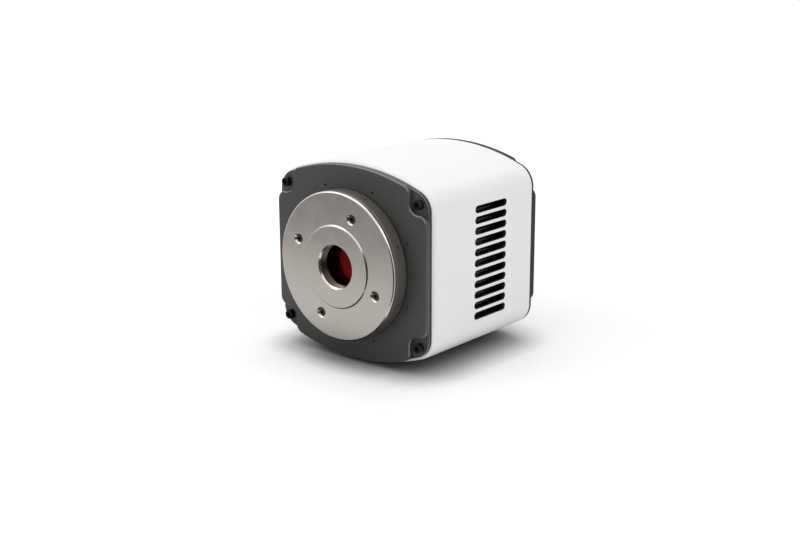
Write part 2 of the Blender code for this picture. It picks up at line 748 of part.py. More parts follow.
def rear_cover():
    """Flange, scalloped pad and spigot rim, with the fan grille and the port openings."""
    flange_rear = REAR_FLANGE_FRONT + REAR_FLANGE_T
    overlap = REAR_FLANGE_FRONT + REAR_FLANGE_T / 2
    cover = prism("rear_cover", [pad_outline(REAR_PAD_INSET)], overlap, REAR_FACE, 0.0, PAD_CHAMFER)
    edge = [housing_outline(REAR_FLANGE_INSET)]
    fuse(cover, prism("rear_flange", edge, REAR_FLANGE_FRONT, flange_rear))
    rim_front = SLEEVE_REAR - SPIGOT_DEPTH
    rim = prism("rear_rim", [housing_outline(spigot_inset)], rim_front, overlap)
    inside = housing_outline(spigot_inset + SPIGOT_WALL)
    hollow = prism("rear_rim_hollow", [inside], rim_front - WALL, REAR_FLANGE_FRONT)
    bosses = [place(x, (rim_front + overlap) / 2, rise) for x, rise in corner_screw_spots]
    cut(rim, hollow)
    fuse(rim, rods("rear_bosses", CORNER_POST_R, overlap - rim_front, bosses, SCREW_STEPS))
    fuse(cover, rim)
    through = [place(x, REAR_FACE, rise) for x, rise in corner_screw_spots]
    fan_spots = corner_spots(FAN_HOLE_HALF, FAN_HOLE_HALF, FAN_RISE)
    through += [place(x, REAR_FACE, rise) for x, rise in fan_spots]
    long = 16 * WALL
    cut(cover, rods("rear_screw_holes", SHANK_R + SCREW_CLEARANCE, long, through, SCREW_STEPS))
    middle = place(0, REAR_FACE, FAN_RISE)
    cut(cover, prism("rear_grille", grille_outlines(), 0, 4 * WALL, centre=middle))
    port_cuts = {
        "switch_cut": (SWITCH_X, SWITCH_BODY),
        "usb_cut": (USB_X, USB_SIZE),
    }
    for name, (x, size) in port_cuts.items():
        wide, tall = (side + 2 * PORT_CLEARANCE for side in size)
        cut(cover, box(name, (wide, 8 * WALL, tall), place(x, REAR_FACE, PORT_RISE)))
    inlet = [place(DC_X, REAR_FACE, PORT_RISE)]
    cut(cover, rods("dc_cut", DC_NOSE_R + PORT_CLEARANCE, 8 * WALL, inlet, SMALL_STEPS))
    jacks = [place(x, REAR_FACE, PORT_RISE) for x in TRIGGER_X]
    jack_hole_r = TRIGGER_THREAD_R + PORT_CLEARANCE
    cut(cover, rods("trigger_cuts", jack_hole_r, 8 * WALL, jacks, SCREW_STEPS))
    light = [place(LED_X, REAR_FACE, LED_RISE)]
    cut(cover, rods("led_cut", LED_R + PORT_CLEARANCE, 8 * WALL, light, 12))
    return add_part(cover, GREY_ANODISED)


def housing_sleeve():
    """The painted sleeve: an extruded tube with vents in both sides and a window for the foot."""
    sleeve = prism(
        "housing_sleeve",
        [housing_outline(0)],
        SLEEVE_FRONT,
        SLEEVE_REAR,
        SLEEVE_FRONT_CHAMFER,
        SLEEVE_REAR_CHAMFER,
    )
    inside = [housing_outline(WALL)]
    cut(sleeve, prism("sleeve_hollow", inside, SLEEVE_FRONT - WALL, SLEEVE_REAR + WALL))
    middle = (VENT_FRONT + VENT_REAR) / 2
    half = (VENT_REAR - VENT_FRONT) / 2
    rows = [(row - (VENT_COUNT - 1) / 2) * VENT_PITCH for row in range(VENT_COUNT)]
    vents = [slot_outline(-half, half, up, VENT_HEIGHT) for up in rows]
    centre = place(0, middle, VENT_RISE)
    cut(sleeve, prism("vents", vents, 0, 3 * HALF_WIDTH, facing=FACING_SIDE, centre=centre))
    window = (FOOT_X + 2 * GAP, FOOT_Y + 2 * GAP, HALF_HEIGHT / 2)
    cut(sleeve, box("foot_window", window, place(0, FOOT_S, -HALF_HEIGHT)))
    return add_part(sleeve, WHITE_PAINT)


def corner_post(name, x, rise):
    """A tube that ties the front plate to the rear cover and takes a screw at each end."""
    bore = SHANK_R + SCREW_CLEARANCE
    length = post_rear - post_front
    profile = [(bore, 0), (CORNER_POST_R, 0), (CORNER_POST_R, length), (bore, length)]
    return add_part(turned(name, profile, SCREW_STEPS, place(x, post_front, rise)), STAINLESS)


front_plate()
rear_cover()
housing_sleeve()
front_seat = FLANGE_FRONT - GAP
rear_seat = REAR_FLANGE_FRONT + REAR_FLANGE_T + GAP
for number, (screw_x, screw_rise) in enumerate(corner_screw_spots, 1):
    front_name = f"front_corner_screw_{number}"
    rear_name = f"rear_corner_screw_{number}"
    cap_screw(front_name, screw_x, front_seat, screw_rise, FACING_FRONT, CORNER_SHANK)
    cap_screw(rear_name, screw_x, rear_seat, screw_rise, FACING_REAR, CORNER_SHANK)
    corner_post(f"corner_post_{number}", screw_x, screw_rise)


# ---- Sensor chamber --------------------------------------------------------------------------

retainer_front = WINDOW_SEAT - 2 * GAP - WINDOW_T - RETAINER_T
package_front = SENSOR_PLANE - PACKAGE_LIP
package_rear = package_front + PACKAGE_T
board_front = package_rear + GAP
board_bore_front = package_rear
finger_front = board_front
block_front = finger_front + FINGER_LENGTH
block_rear = block_front + COLD_BLOCK_T
cold_front = block_rear + GAP
cold_rear = cold_front + COOLER_COLD_T
hot_front = cold_rear + GAP
hot_rear = hot_front + COOLER_HOT_T
pedestal_front = hot_rear + GAP
chamber_rear = hot_rear + CHAMBER_MARGIN
sink_front = chamber_rear + GAP
sink_rear = REAR_FLANGE_FRONT - GAP - FAN_T - SINK_TO_FAN


def chamber_body():
    """The sealed housing round the sensor: nose with the window seat, flange and rear barrel."""
    flange_front = FRONT_PLATE_REAR + GAP
    flange_rear = flange_front + CHAMBER_FLANGE_T
    groove_floor = WINDOW_SEAT + SEAL_GROOVE_DEPTH
    profile = [
        (WINDOW_BORE_R, NOSE_FRONT),
        (NOSE_R, NOSE_FRONT),
        (NOSE_R, flange_front),
        (CHAMBER_FLANGE_R, flange_front),
        (CHAMBER_FLANGE_R, flange_rear),
        (CHAMBER_R, flange_rear),
        (CHAMBER_R, chamber_rear),
        (CHAMBER_R - CHAMBER_WALL, chamber_rear),
        (CHAMBER_R - CHAMBER_WALL, board_bore_front),
        (PACKAGE_BORE_R, board_bore_front),
        (PACKAGE_BORE_R, APERTURE_REAR),
        (APERTURE_R, APERTURE_REAR),
        (APERTURE_R, WINDOW_SEAT),
        (SEAL_R - SEAL_GROOVE_HALF, WINDOW_SEAT),
        (SEAL_R - SEAL_GROOVE_HALF, groove_floor),
        (SEAL_R + SEAL_GROOVE_HALF, groove_floor),
        (SEAL_R + SEAL_GROOVE_HALF, WINDOW_SEAT),
        (WINDOW_BORE_R, WINDOW_SEAT),
    ]
    return add_part(turned("chamber_body", profile, SMALL_STEPS, place(0, 0, 0)), BLACK_ANODISED)


def window_parts():
    """The window, the seal behind it and the ring that holds it."""
    outer = WINDOW_BORE_R - GAP
    glass = [(0, 0), (outer, 0), (outer, WINDOW_T), (0, WINDOW_T)]
    glass_front = retainer_front + RETAINER_T + GAP
    pane = turned("window_glass", glass, SMALL_STEPS, place(0, glass_front, 0), closed=False)
    add_part(pane, COATED_GLASS)
    seal_s = WINDOW_SEAT + SEAL_WIRE_R
    wire = arc(SEAL_R, seal_s, SEAL_WIRE_R, 0, -2 * math.pi, 8)[:-1]
    add_part(turned("window_seal", wire[::-1], SMALL_STEPS, place(0, 0, 0)), BLACK_RUBBER)
    ring = [(RETAINER_BORE_R, 0), (outer, 0), (outer, RETAINER_T), (RETAINER_BORE_R, RETAINER_T)]
    retainer = turned("window_retainer", ring, SMALL_STEPS, place(0, retainer_front, 0))
    notch = (RETAINER_NOTCH, RETAINER_T, RETAINER_NOTCH)
    notches = [place(side * outer, retainer_front, 0) for side in (-1, 1)]
    cut(retainer, boxes("retainer_notches", notch, notches))
    add_part(retainer, BLACK_ANODISED)


def sensor_parts():
    """The sensor die in its ceramic package, and the round board behind it."""
    block = (PACKAGE_SIDE, PACKAGE_T, PACKAGE_SIDE)
    package = box("sensor_package", block, place(0, package_front + PACKAGE_T / 2, 0))
    well_depth = PACKAGE_LIP + DIE_T + GAP
    well = (DIE_X + 2 * DIE_MARGIN, 2 * well_depth, DIE_Z + 2 * DIE_MARGIN)
    cut(package, box("package_well", well, place(0, package_front, 0)))
    add_part(package, CERAMIC)
    die = box("sensor_die", (DIE_X, DIE_T, DIE_Z), place(0, SENSOR_PLANE + DIE_T / 2, 0))
    add_part(die, SILICON)
    disc = [(0, 0), (SENSOR_BOARD_R, 0), (SENSOR_BOARD_R, BOARD_T), (0, BOARD_T)]
    board = turned("sensor_board", disc, SMALL_STEPS, place(0, board_front, 0), closed=False)
    opening = FINGER_SIDE + 2 * GAP
    cut(board, box("finger_opening", (opening, 4 * BOARD_T, opening), place(0, board_front, 0)))
    add_part(board, CIRCUIT_BOARD)


def cold_plate():
    """The copper block that draws heat from the sensor through the board's opening."""
    block = (COLD_BLOCK_SIDE, COLD_BLOCK_T, COLD_BLOCK_SIDE)
    plate = box("cold_plate", block, place(0, block_front + COLD_BLOCK_T / 2, 0))
    reach = FINGER_LENGTH + COLD_BLOCK_T / 2
    finger = (FINGER_SIDE, reach, FINGER_SIDE)
    fuse(plate, box("cold_finger", finger, place(0, finger_front + reach / 2, 0)))
    return add_part(plate, COPPER)


def cooler(name, side, thick, front):
    """A thermoelectric stage: two ceramic plates, and the block of pellets between them."""
    stage = box(name, (side, COOLER_PLATE_T, side), place(0, front + COOLER_PLATE_T / 2, 0))
    core = side - 2 * COOLER_INSET
    pellets = (core, thick - COOLER_PLATE_T, core)
    fuse(stage, box(name + "_pellets", pellets, place(0, front + thick / 2, 0)))
    back = place(0, front + thick - COOLER_PLATE_T / 2, 0)
    fuse(stage, box(name + "_hot_plate", (side, COOLER_PLATE_T, side), back))
    return add_part(stage, CERAMIC)


def heat_sink():
    """Base, pedestal and fins. The fins stand behind the bars between the side vents."""
    fins = VENT_COUNT + 1
    tall = (fins - 1) * VENT_PITCH + FIN_T
    length = sink_rear - sink_front
    block = (2 * SINK_HALF_X, length, tall)
    sink = box("heat_sink", block, place(0, sink_front + length / 2, VENT_RISE))
    channel = sink_rear - sink_front - SINK_BASE_T
    size = (SINK_HALF_X, 2 * channel, VENT_PITCH - FIN_T)
    rows = [VENT_RISE + (row - (VENT_COUNT - 1) / 2) * VENT_PITCH for row in range(VENT_COUNT)]
    aside = (SINK_HALF_X + SINK_WEB_T) / 2
    spots = [place(side * aside, sink_rear, rise) for rise in rows for side in (-1, 1)]
    cut(sink, boxes("sink_channels", size, spots))
    reach = sink_front - pedestal_front + SINK_BASE_T / 2
    pedestal = (PEDESTAL_SIDE, reach, PEDESTAL_SIDE)
    fuse(sink, box("sink_pedestal", pedestal, place(0, pedestal_front + reach / 2, 0)))
    return add_part(sink, BLACK_ANODISED)


chamber_body()
window_parts()
sensor_parts()
cold_plate()
cooler("cooler_cold_stage", COOLER_COLD_SIDE, COOLER_COLD_T, cold_front)
cooler("cooler_hot_stage", COOLER_HOT_SIDE, COOLER_HOT_T, hot_front)
heat_sink()


# ---- Fan -------------------------------------------------------------------------------------

fan_rear = REAR_FLANGE_FRONT - GAP
fan_front = fan_rear - FAN_T
fan_middle = place(0, (fan_front + fan_rear) / 2, FAN_RISE)
hub_plate_front = fan_rear - FAN_HUB_PLATE_T


def fan_frame():
    """The square frame with its round duct, and the hub plate on four struts at the rear."""
    half = FAN_SIDE / 2
    corner = half - FAN_CORNER_R
    rounded = arc(corner, corner, FAN_CORNER_R, 0, math.pi / 2, CORNER_STEPS // 2)
    outline = rounded + [(-up, across) for across, up in rounded]
    outline += [(-across, -up) for across, up in outline]
    frame = prism("fan_frame", [outline], fan_front, fan_rear, centre=fan_middle)
    cut(frame, rods("fan_duct", FAN_BORE_R, 2 * FAN_T, [fan_middle], SMALL_STEPS))
    corners = corner_spots(FAN_HOLE_HALF, FAN_HOLE_HALF, FAN_RISE)
    spots = [place(x, fan_rear, rise) for x, rise in corners]
    cut(frame, rods("fan_screw_holes", SHANK_R + SCREW_CLEARANCE, 4 * FAN_T, spots, SCREW_STEPS))
    hub_s = fan_rear - FAN_HUB_PLATE_T / 2
    middle = [place(0, hub_s, FAN_RISE)]
    hub = rods("fan_hub_plate", FAN_HUB_R, FAN_HUB_PLATE_T, middle, SMALL_STEPS)
    arm = FAN_BORE_R + FAN_STRUT_W / 2
    for index in range(FAN_STRUTS // 2):
        bar = (2 * arm, FAN_HUB_PLATE_T, FAN_STRUT_W)
        strut = box(f"fan_strut_{index + 1}", bar, place(0, hub_s, FAN_RISE))
        strut.rotation_euler = (0, math.pi / 4 + index * math.pi / 2, 0)
        fuse(hub, strut)
    fuse(frame, hub)
    return add_part(frame, BLACK_PLASTIC)


def fan_rotor():
    """The hub and its pitched blades, trimmed to the duct. Its origin lies on the spin axis."""
    front = fan_front + ROTOR_INSET
    rear = hub_plate_front - GAP
    half = (rear - front) / 2
    drop = (front + rear) / 2
    tip = FAN_BORE_R - FAN_TIP_CLEARANCE
    hub = [
        (0, -half),
        (FAN_HUB_R - GAP, -half),
        (FAN_HUB_R, GAP - half),
        (FAN_HUB_R, half),
        (0, half),
    ]
    rotor = turned("fan_rotor", hub, SMALL_STEPS, place(0, drop, FAN_RISE), closed=False)
    bm = bmesh.new()
    root = 0.8 * FAN_HUB_R
    for index in range(BLADES):
        spot = (
            Matrix.Translation(place(0, drop, FAN_RISE))
            @ Matrix.Rotation(2 * math.pi * index / BLADES, 4, "Y")
            @ Matrix.Translation((root + (FAN_BORE_R - root) / 2, 0, 0))
            @ Matrix.Rotation(BLADE_PITCH, 4, "X")
            @ Matrix.Diagonal((FAN_BORE_R - root, BLADE_T, BLADE_CHORD, 1))
        )
        bmesh.ops.create_cube(bm, size=1, matrix=spot)
    fuse(rotor, mesh_object("fan_blades", bm))
    trim = rods("fan_trim", tip, 2 * half, [place(0, drop, FAN_RISE)], RING_STEPS)
    boolean(rotor, as_tool(trim), "INTERSECT")
    return add_part(rotor, BLACK_PLASTIC)


fan_frame()
fan_rotor()
fan_screw_spots = corner_spots(FAN_HOLE_HALF, FAN_HOLE_HALF, FAN_RISE)
for number, (screw_x, screw_rise) in enumerate(fan_screw_spots, 1):
    pan_screw(f"fan_screw_{number}", screw_x, REAR_FACE + GAP, screw_rise)


# ---- Floor, foot and boards ------------------------------------------------------------------

floor_front = FRONT_PLATE_REAR + GAP
port_board_rear = PORT_BOARD_FRONT + BOARD_T
floor_rear = port_board_rear
floor_underside = FLOOR_RISE - FLOOR_T
floor_half_x = inside_reach(floor_underside) - FLOOR_SIDE
board_post_x = floor_half_x - BOARD_POST_SIDE
main_board_rear = PORT_BOARD_FRONT - GAP
board_length = main_board_rear - MAIN_BOARD_FRONT
board_middle = (main_board_rear + MAIN_BOARD_FRONT) / 2
board_underside = MAIN_BOARD_RISE - BOARD_T


def chassis_floor():
    """The plate inside the belly of the sleeve, with four posts under the main board."""
    length = floor_rear - floor_front
    middle = (floor_rear + floor_front) / 2
    size = (2 * floor_half_x, length, FLOOR_T)
    plate = box("chassis_floor", size, place(0, middle, FLOOR_RISE - FLOOR_T / 2))
    top = board_underside - GAP
    tall = top - FLOOR_RISE + FLOOR_T / 2
    reach = board_length / 2 - BOARD_POST_INSET
    corners = corner_spots(board_post_x, reach)
    spots = [place(x, board_middle + y, top - tall / 2) for x, y in corners]
    fuse(plate, rods("board_posts", BOARD_POST_R, tall, spots, SCREW_STEPS, UPRIGHT))
    return add_part(plate, BLACK_ANODISED)


def tripod_block():
    """The foot under the camera, through the sleeve, with a tripod hole and two pin holes."""
    top = floor_underside - GAP
    bottom = -AXIS_Z
    middle = (top + bottom) / 2
    block = box("tripod_block", (FOOT_X, FOOT_Y, top - bottom), place(0, FOOT_S, middle))
    hole = [place(0, FOOT_S, bottom)]
    cut(block, rods("tripod_hole", TRIPOD_R, 2 * TRIPOD_DEPTH, hole, SCREW_STEPS, UPRIGHT))
    pins = [place(0, FOOT_S + side * TRIPOD_PIN_STEP, bottom) for side in (-1, 1)]
    cut(block, rods("tripod_pin_holes", TRIPOD_PIN_R, TRIPOD_DEPTH, pins, SCREW_STEPS, UPRIGHT))
    return add_part(block, BLACK_ANODISED)


def boards():
    """The main board, its processor and memory, and the upright board that carries the ports."""
    rise = MAIN_BOARD_RISE - BOARD_T / 2
    board = (2 * BOARD_HALF_X, board_length, BOARD_T)
    add_part(box("main_board", board, place(0, board_middle, rise)), CIRCUIT_BOARD)
    chip_rise = MAIN_BOARD_RISE + GAP + PROCESSOR_T / 2
    chip = (PROCESSOR_SIDE, PROCESSOR_SIDE, PROCESSOR_T)
    chips_s = board_middle + PROCESSOR_SHIFT
    add_part(box("processor_chip", chip, place(0, chips_s, chip_rise), bevel=GAP), BLACK_PLASTIC)
    memory_rise = MAIN_BOARD_RISE + GAP + MEMORY_SIZE[2] / 2
    for index, side in enumerate((-1, 1), 1):
        spot = place(side * MEMORY_X, chips_s, memory_rise)
        add_part(box(f"memory_chip_{index}", MEMORY_SIZE, spot), BLACK_PLASTIC)
    tall = PORT_BOARD_TOP - FLOOR_RISE - GAP
    half_x = inside_reach(FLOOR_RISE + GAP) - PORT_BOARD_SIDE
    spot = place(0, PORT_BOARD_FRONT + BOARD_T / 2, PORT_BOARD_TOP - tall / 2)
    add_part(box("port_board", (2 * half_x, BOARD_T, tall), spot), CIRCUIT_BOARD)


chassis_floor()
tripod_block()
boards()


# ---- Ports, switch and light -----------------------------------------------------------------

port_front = port_board_rear + GAP


def switch_parts():
    """The power switch: a frame clipped into the cover and a rocker on a cross pin."""
    bezel_rear = REAR_FACE + GAP + SWITCH_BEZEL_T
    bezel = (SWITCH_BEZEL[0], SWITCH_BEZEL_T, SWITCH_BEZEL[1])
    front = place(SWITCH_X, bezel_rear - SWITCH_BEZEL_T / 2, PORT_RISE)
    frame = box("switch_frame", bezel, front, bevel=GAP)
    reach = bezel_rear - SWITCH_BEZEL_T / 2 - port_front
    body = (SWITCH_BODY[0], reach, SWITCH_BODY[1])
    fuse(frame, box("switch_body", body, place(SWITCH_X, port_front + reach / 2, PORT_RISE)))
    well = (SWITCH_WELL[0], 2 * SWITCH_WELL_DEPTH, SWITCH_WELL[1])
    cut(frame, box("switch_well", well, place(SWITCH_X, bezel_rear, PORT_RISE)))
    add_part(frame, BLACK_PLASTIC)
    half = ROCKER_HALF_LENGTH
    low, high = ROCKER_END
    keel, sunk = ROCKER_KEEL
    side_profile = [
        (-half, high),
        (-half, low),
        (-keel, sunk),
        (keel, sunk),
        (half, low),
        (half, high),
        (0, ROCKER_DISH),
    ]
    width = SWITCH_WELL[0] - 2 * ROCKER_SIDE_GAP
    pivot = place(SWITCH_X, bezel_rear - ROCKER_PIVOT_DEPTH, PORT_RISE)
    lean = Matrix.Rotation(ROCKER_REST_TILT, 2)
    outline = [tuple(lean @ Vector((back, up))) for up, back in side_profile]
    rocker = prism("power_rocker", [outline], 0, width, facing=FACING_SIDE, centre=pivot)
    add_part(rocker, BLACK_PLASTIC)


def dc_jack():
    """The power inlet: a square body, a round nose through the cover and a centre pin."""
    body_rear = REAR_FLANGE_FRONT - GAP
    length = body_rear - port_front
    body = (DC_BODY, length, DC_BODY)
    jack = box("dc_jack", body, place(DC_X, port_front + length / 2, PORT_RISE))
    nose_rear = REAR_FACE + PORT_PROUD
    reach = nose_rear - body_rear + WALL
    nose_s = nose_rear - reach / 2
    fuse(jack, rods("dc_nose", DC_NOSE_R, reach, [place(DC_X, nose_s, PORT_RISE)], SMALL_STEPS))
    mouth = [place(DC_X, nose_rear, PORT_RISE)]
    cut(jack, rods("dc_socket", DC_SOCKET_R, 2 * DC_SOCKET_DEPTH, mouth, SMALL_STEPS))
    pin_length = DC_SOCKET_DEPTH
    pin_s = nose_rear - DC_SOCKET_DEPTH / 2 - WALL / 2
    fuse(jack, rods("dc_pin", DC_PIN_R, pin_length, [place(DC_X, pin_s, PORT_RISE)], 12))
    return add_part(jack, BLACK_PLASTIC)


def usb_port():
    """The data port: a metal shell with a blind cavity and a tongue that stands in it."""
    rear = REAR_FACE + PORT_PROUD
    length = rear - port_front
    wide, tall = USB_SIZE
    port = box("usb_port", (wide, length, tall), place(USB_X, port_front + length / 2, PORT_RISE))
    cavity = (wide - 2 * USB_WALL, 2 * USB_DEPTH, tall - 2 * USB_WALL)
    cut(port, box("usb_cavity", cavity, place(USB_X, rear, PORT_RISE)))
    tongue = (USB_TONGUE[0], USB_DEPTH, USB_TONGUE[1])
    fuse(port, box("usb_tongue", tongue, place(USB_X, rear - USB_DEPTH / 2 - WALL / 2, PORT_RISE)))
    return add_part(port, STAINLESS)


def trigger_jack(name, x):
    """A coaxial trigger jack: barrel through the cover, hexagon on its face, socket and pin."""
    hex_front = REAR_FACE + GAP
    hex_rear = hex_front + TRIGGER_HEX_T
    rear = hex_rear + TRIGGER_LENGTH
    length = rear - port_front
    middle = place(x, port_front + length / 2, PORT_RISE)
    jack = rods(name, TRIGGER_THREAD_R, length, [(0, 0, 0)], SCREW_STEPS)
    jack.location = middle
    collar = place(x, (hex_front + hex_rear) / 2, PORT_RISE)
    fuse(jack, hex_rod(name + "_hexagon", TRIGGER_HEX_FLATS, TRIGGER_HEX_T, collar))
    mouth = [place(x, rear, PORT_RISE)]
    cut(jack, rods(name + "_socket", TRIGGER_SOCKET_R, 2 * TRIGGER_SOCKET_DEPTH, mouth, 16))
    pin = [place(x, rear - TRIGGER_SOCKET_DEPTH / 2 - WALL / 2, PORT_RISE)]
    fuse(jack, rods(name + "_pin", TRIGGER_PIN_R, TRIGGER_SOCKET_DEPTH, pin, 8))
    return add_part(jack, GOLD)


def status_led():
    """The light pipe beside the ports, pressed into its hole in the cover."""
    rear = REAR_FACE + PORT_PROUD / 2
    profile = [
        (0, 0),
        (LED_R - GAP, 0),
        (LED_R, GAP),
        (LED_R, LED_LENGTH),
        (0, LED_LENGTH),
    ]
    spot = place(LED_X, rear, LED_RISE)
    pipe = turned("status_led", profile, 12, spot, FACING_REAR, closed=False)
    return add_part(pipe, LIGHT_PIPE)


switch_parts()
dc_jack()
usb_port()
for number, jack_x in enumerate(TRIGGER_X, 1):
    trigger_jack(f"trigger_jack_{number}", jack_x)
status_led()
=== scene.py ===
# %% [markdown]
# A cooled scientific camera, built as pieces.
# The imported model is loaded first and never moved: it holds every real size and place. Each
# visible piece is then made again with a finer surface, or keeps its solid and gets a finish.

# %% Load the frame
import math

import bmesh
import bpy
from mathutils import Matrix, Vector


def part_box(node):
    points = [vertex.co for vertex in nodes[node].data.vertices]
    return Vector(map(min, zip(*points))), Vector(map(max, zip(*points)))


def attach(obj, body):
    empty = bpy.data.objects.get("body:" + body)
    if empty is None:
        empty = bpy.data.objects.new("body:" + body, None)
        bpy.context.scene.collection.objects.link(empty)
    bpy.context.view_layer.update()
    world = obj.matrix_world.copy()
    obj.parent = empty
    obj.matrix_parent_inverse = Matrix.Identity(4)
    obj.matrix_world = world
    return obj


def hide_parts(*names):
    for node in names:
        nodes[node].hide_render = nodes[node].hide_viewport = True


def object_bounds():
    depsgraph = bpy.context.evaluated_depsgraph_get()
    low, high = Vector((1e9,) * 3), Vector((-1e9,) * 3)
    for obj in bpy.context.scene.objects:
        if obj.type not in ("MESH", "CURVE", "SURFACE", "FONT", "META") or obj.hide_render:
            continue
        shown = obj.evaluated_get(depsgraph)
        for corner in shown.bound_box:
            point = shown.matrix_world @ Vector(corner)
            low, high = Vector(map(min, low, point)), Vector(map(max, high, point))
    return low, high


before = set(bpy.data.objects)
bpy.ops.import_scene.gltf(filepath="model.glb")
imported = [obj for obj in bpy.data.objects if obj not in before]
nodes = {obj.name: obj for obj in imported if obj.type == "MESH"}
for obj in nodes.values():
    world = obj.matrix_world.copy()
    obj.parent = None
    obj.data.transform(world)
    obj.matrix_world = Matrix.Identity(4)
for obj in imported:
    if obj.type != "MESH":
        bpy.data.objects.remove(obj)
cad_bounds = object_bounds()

MM = 0.001
size_mm = [(high - low) / MM for low, high in zip(*cad_bounds)]
print(f"frame: {len(nodes)} nodes, {size_mm[0]:.1f} x {size_mm[1]:.1f} x {size_mm[2]:.1f} mm")

# %% [markdown]
# Places come from the frame. A node's box gives its lowest and highest corner, so the optical
# axis is the middle of the mount plate, and each layer's depth is a corner's Y. The lens mount
# faces -Y. Only the small sizes that a box can't tell, such as a chamfer, are named here.

# %% Places read from the frame


def low(node):
    """Lowest corner of a CAD node."""
    return Vector(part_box(node)[0])


def high(node):
    """Highest corner of a CAD node."""
    return Vector(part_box(node)[1])


def middle(node):
    """Centre of a CAD node's box."""
    return (low(node) + high(node)) / 2


def numbered(stem, count):
    """The names of CAD nodes that share a stem, from 1 up."""
    return [f"{stem}_{number}" for number in range(1, count + 1)]


def spots(names):
    """The (x, z) places of some CAD nodes."""
    return [(middle(name).x, middle(name).z) for name in names]


AXIS_Z = middle("mount_plate").z
PLATE_R = high("mount_plate").x
BOSS_FACE = low("mount_plate").y
PLATE_FACE = BOSS_FACE + 0.75 * MM
THROAT_REAR = high("mount_plate").y
TURRET_FRONT = low("turret_ring").y
PLATE_REAR = TURRET_FRONT - 0.3 * MM
TURRET_REAR = high("turret_ring").y
PAD_FRONT = low("front_plate").y
SLEEVE_FRONT = low("housing_sleeve").y
SLEEVE_REAR = high("housing_sleeve").y
COVER_REAR = high("rear_cover").y
HALF_WIDTH = high("housing_sleeve").x
HALF_HEIGHT = high("housing_sleeve").z - AXIS_Z
print(f"axis {AXIS_Z / MM:.1f} mm up, plate radius {PLATE_R / MM:.1f} mm")
print(f"sleeve {2 * HALF_WIDTH / MM:.0f} mm wide, {(SLEEVE_REAR - SLEEVE_FRONT) / MM:.1f} mm long")

# %% [markdown]
# Colours are written as sRGB hex, as a paint chart or a picture editor gives them. Blender
# mixes light in linear values, so one function turns the first into the second.
# A second small function adds a node, sets its values and wires its inputs, so that each
# material below reads as a short list of what the real surface does.

# %% Colour and node helpers


def linear(code):
    """An sRGB hex colour as linear red, green, blue and alpha."""
    channels = [int(code[start : start + 2], 16) / 255 for start in (1, 3, 5)]
    curve = [c / 12.92 if c <= 0.04045 else ((c + 0.055) / 1.055) ** 2.4 for c in channels]
    return (*curve, 1.0)


def node(tree, kind, settings=None, links=None):
    """Add a node. settings are its own values or its inputs', links come from other sockets."""
    made = tree.nodes.new(kind)
    for key, value in (settings or {}).items():
        if isinstance(key, str) and hasattr(made, key):
            setattr(made, key, value)
        else:
            made.inputs[key].default_value = value
    for key, socket in (links or {}).items():
        tree.links.new(socket, made.inputs[key])
    return made


def start(name, colour, roughness, metallic, **sockets):
    """A material with one Principled shader, whose constants sit on its own sockets."""
    made = bpy.data.materials.new(name)
    made.use_nodes = True
    made.diffuse_color = linear(colour)
    shader = made.node_tree.nodes["Principled BSDF"]
    shader.inputs["Base Color"].default_value = linear(colour)
    shader.inputs["Roughness"].default_value = roughness
    shader.inputs["Metallic"].default_value = metallic
    for key, value in sockets.items():
        shader.inputs[key.replace("_", " ")].default_value = value
    return made, made.node_tree, shader


# %% [markdown]
# Most of this camera's surfaces share one kind of detail: a fine grain that the eye reads as
# bead blasting, orange peel or moulding texture, and a slow, faint change of tone over the
# part. The grain's size is a real length, so a scale is one over that length in metres.
# Every such finish ends alike: a pattern mixes two close colours, moves the roughness a little
# and lifts a bump of a real depth. The first function below wires those three.

# %% Grain that several finishes use
TONE_DRIFT = 22 * MM
FINE_SHARE = 0.35


def dress(made, colours, mix, polish, gloss, height, depth_mm):
    """Wire a colour mix, a roughness range and a bump to a material's shader."""
    tree = made.node_tree
    shader = tree.nodes["Principled BSDF"]
    first, second = (linear(colour) for colour in colours)
    tone = node(tree, "ShaderNodeMix", {"data_type": "RGBA", 6: first, 7: second}, {0: mix})
    range_ends = {"To Min": polish[0], "To Max": polish[1]}
    shine = node(tree, "ShaderNodeMapRange", range_ends, {"Value": gloss})
    depth = {"Strength": 1.0, "Distance": depth_mm * MM}
    bump = node(tree, "ShaderNodeBump", depth, {"Height": height})
    tree.links.new(tone.outputs[2], shader.inputs["Base Color"])
    tree.links.new(shine.outputs["Result"], shader.inputs["Roughness"])
    tree.links.new(bump.outputs["Normal"], shader.inputs["Normal"])
    return made


def grain(name, colour, second, roughness, metallic, grain_mm, depth_mm, spread=0.06, **sockets):
    """A surface with a bump grain of one real size, and two close colours that drift."""
    made, tree, _ = start(name, colour, roughness, metallic, **sockets)
    where = {"Vector": node(tree, "ShaderNodeTexCoord").outputs["Object"]}
    small = {"Scale": 1 / (grain_mm * MM), "Detail": 3.0, "Roughness": 0.6}
    large = {"Scale": 1 / TONE_DRIFT, "Detail": 2.0, "Roughness": 0.5}
    fine = node(tree, "ShaderNodeTexNoise", small, where)
    slow = node(tree, "ShaderNodeTexNoise", large, where)
    share = {"operation": "MULTIPLY_ADD", 1: FINE_SHARE}
    added = {0: fine.outputs["Fac"], 2: slow.outputs["Fac"]}
    both = node(tree, "ShaderNodeMath", share, added)
    mix, pattern = both.outputs["Value"], fine.outputs["Fac"]
    polish = (roughness - spread, roughness + spread)
    return dress(made, (colour, second), mix, polish, pattern, pattern, depth_mm)


# %% [markdown]
# The sleeve is aluminium with a sprayed and baked white powder coat. Powder melts into a skin
# with a faint orange peel about a millimetre across, so its gloss is soft and slightly broken.

# %% White powder coat
POWDER_COAT = grain(
    "powder_coated_aluminium_white", "#F0F0F0", "#F5F5F5", 0.42, 0.0, 1.1, 0.010, 0.04
)
print(POWDER_COAT.name)

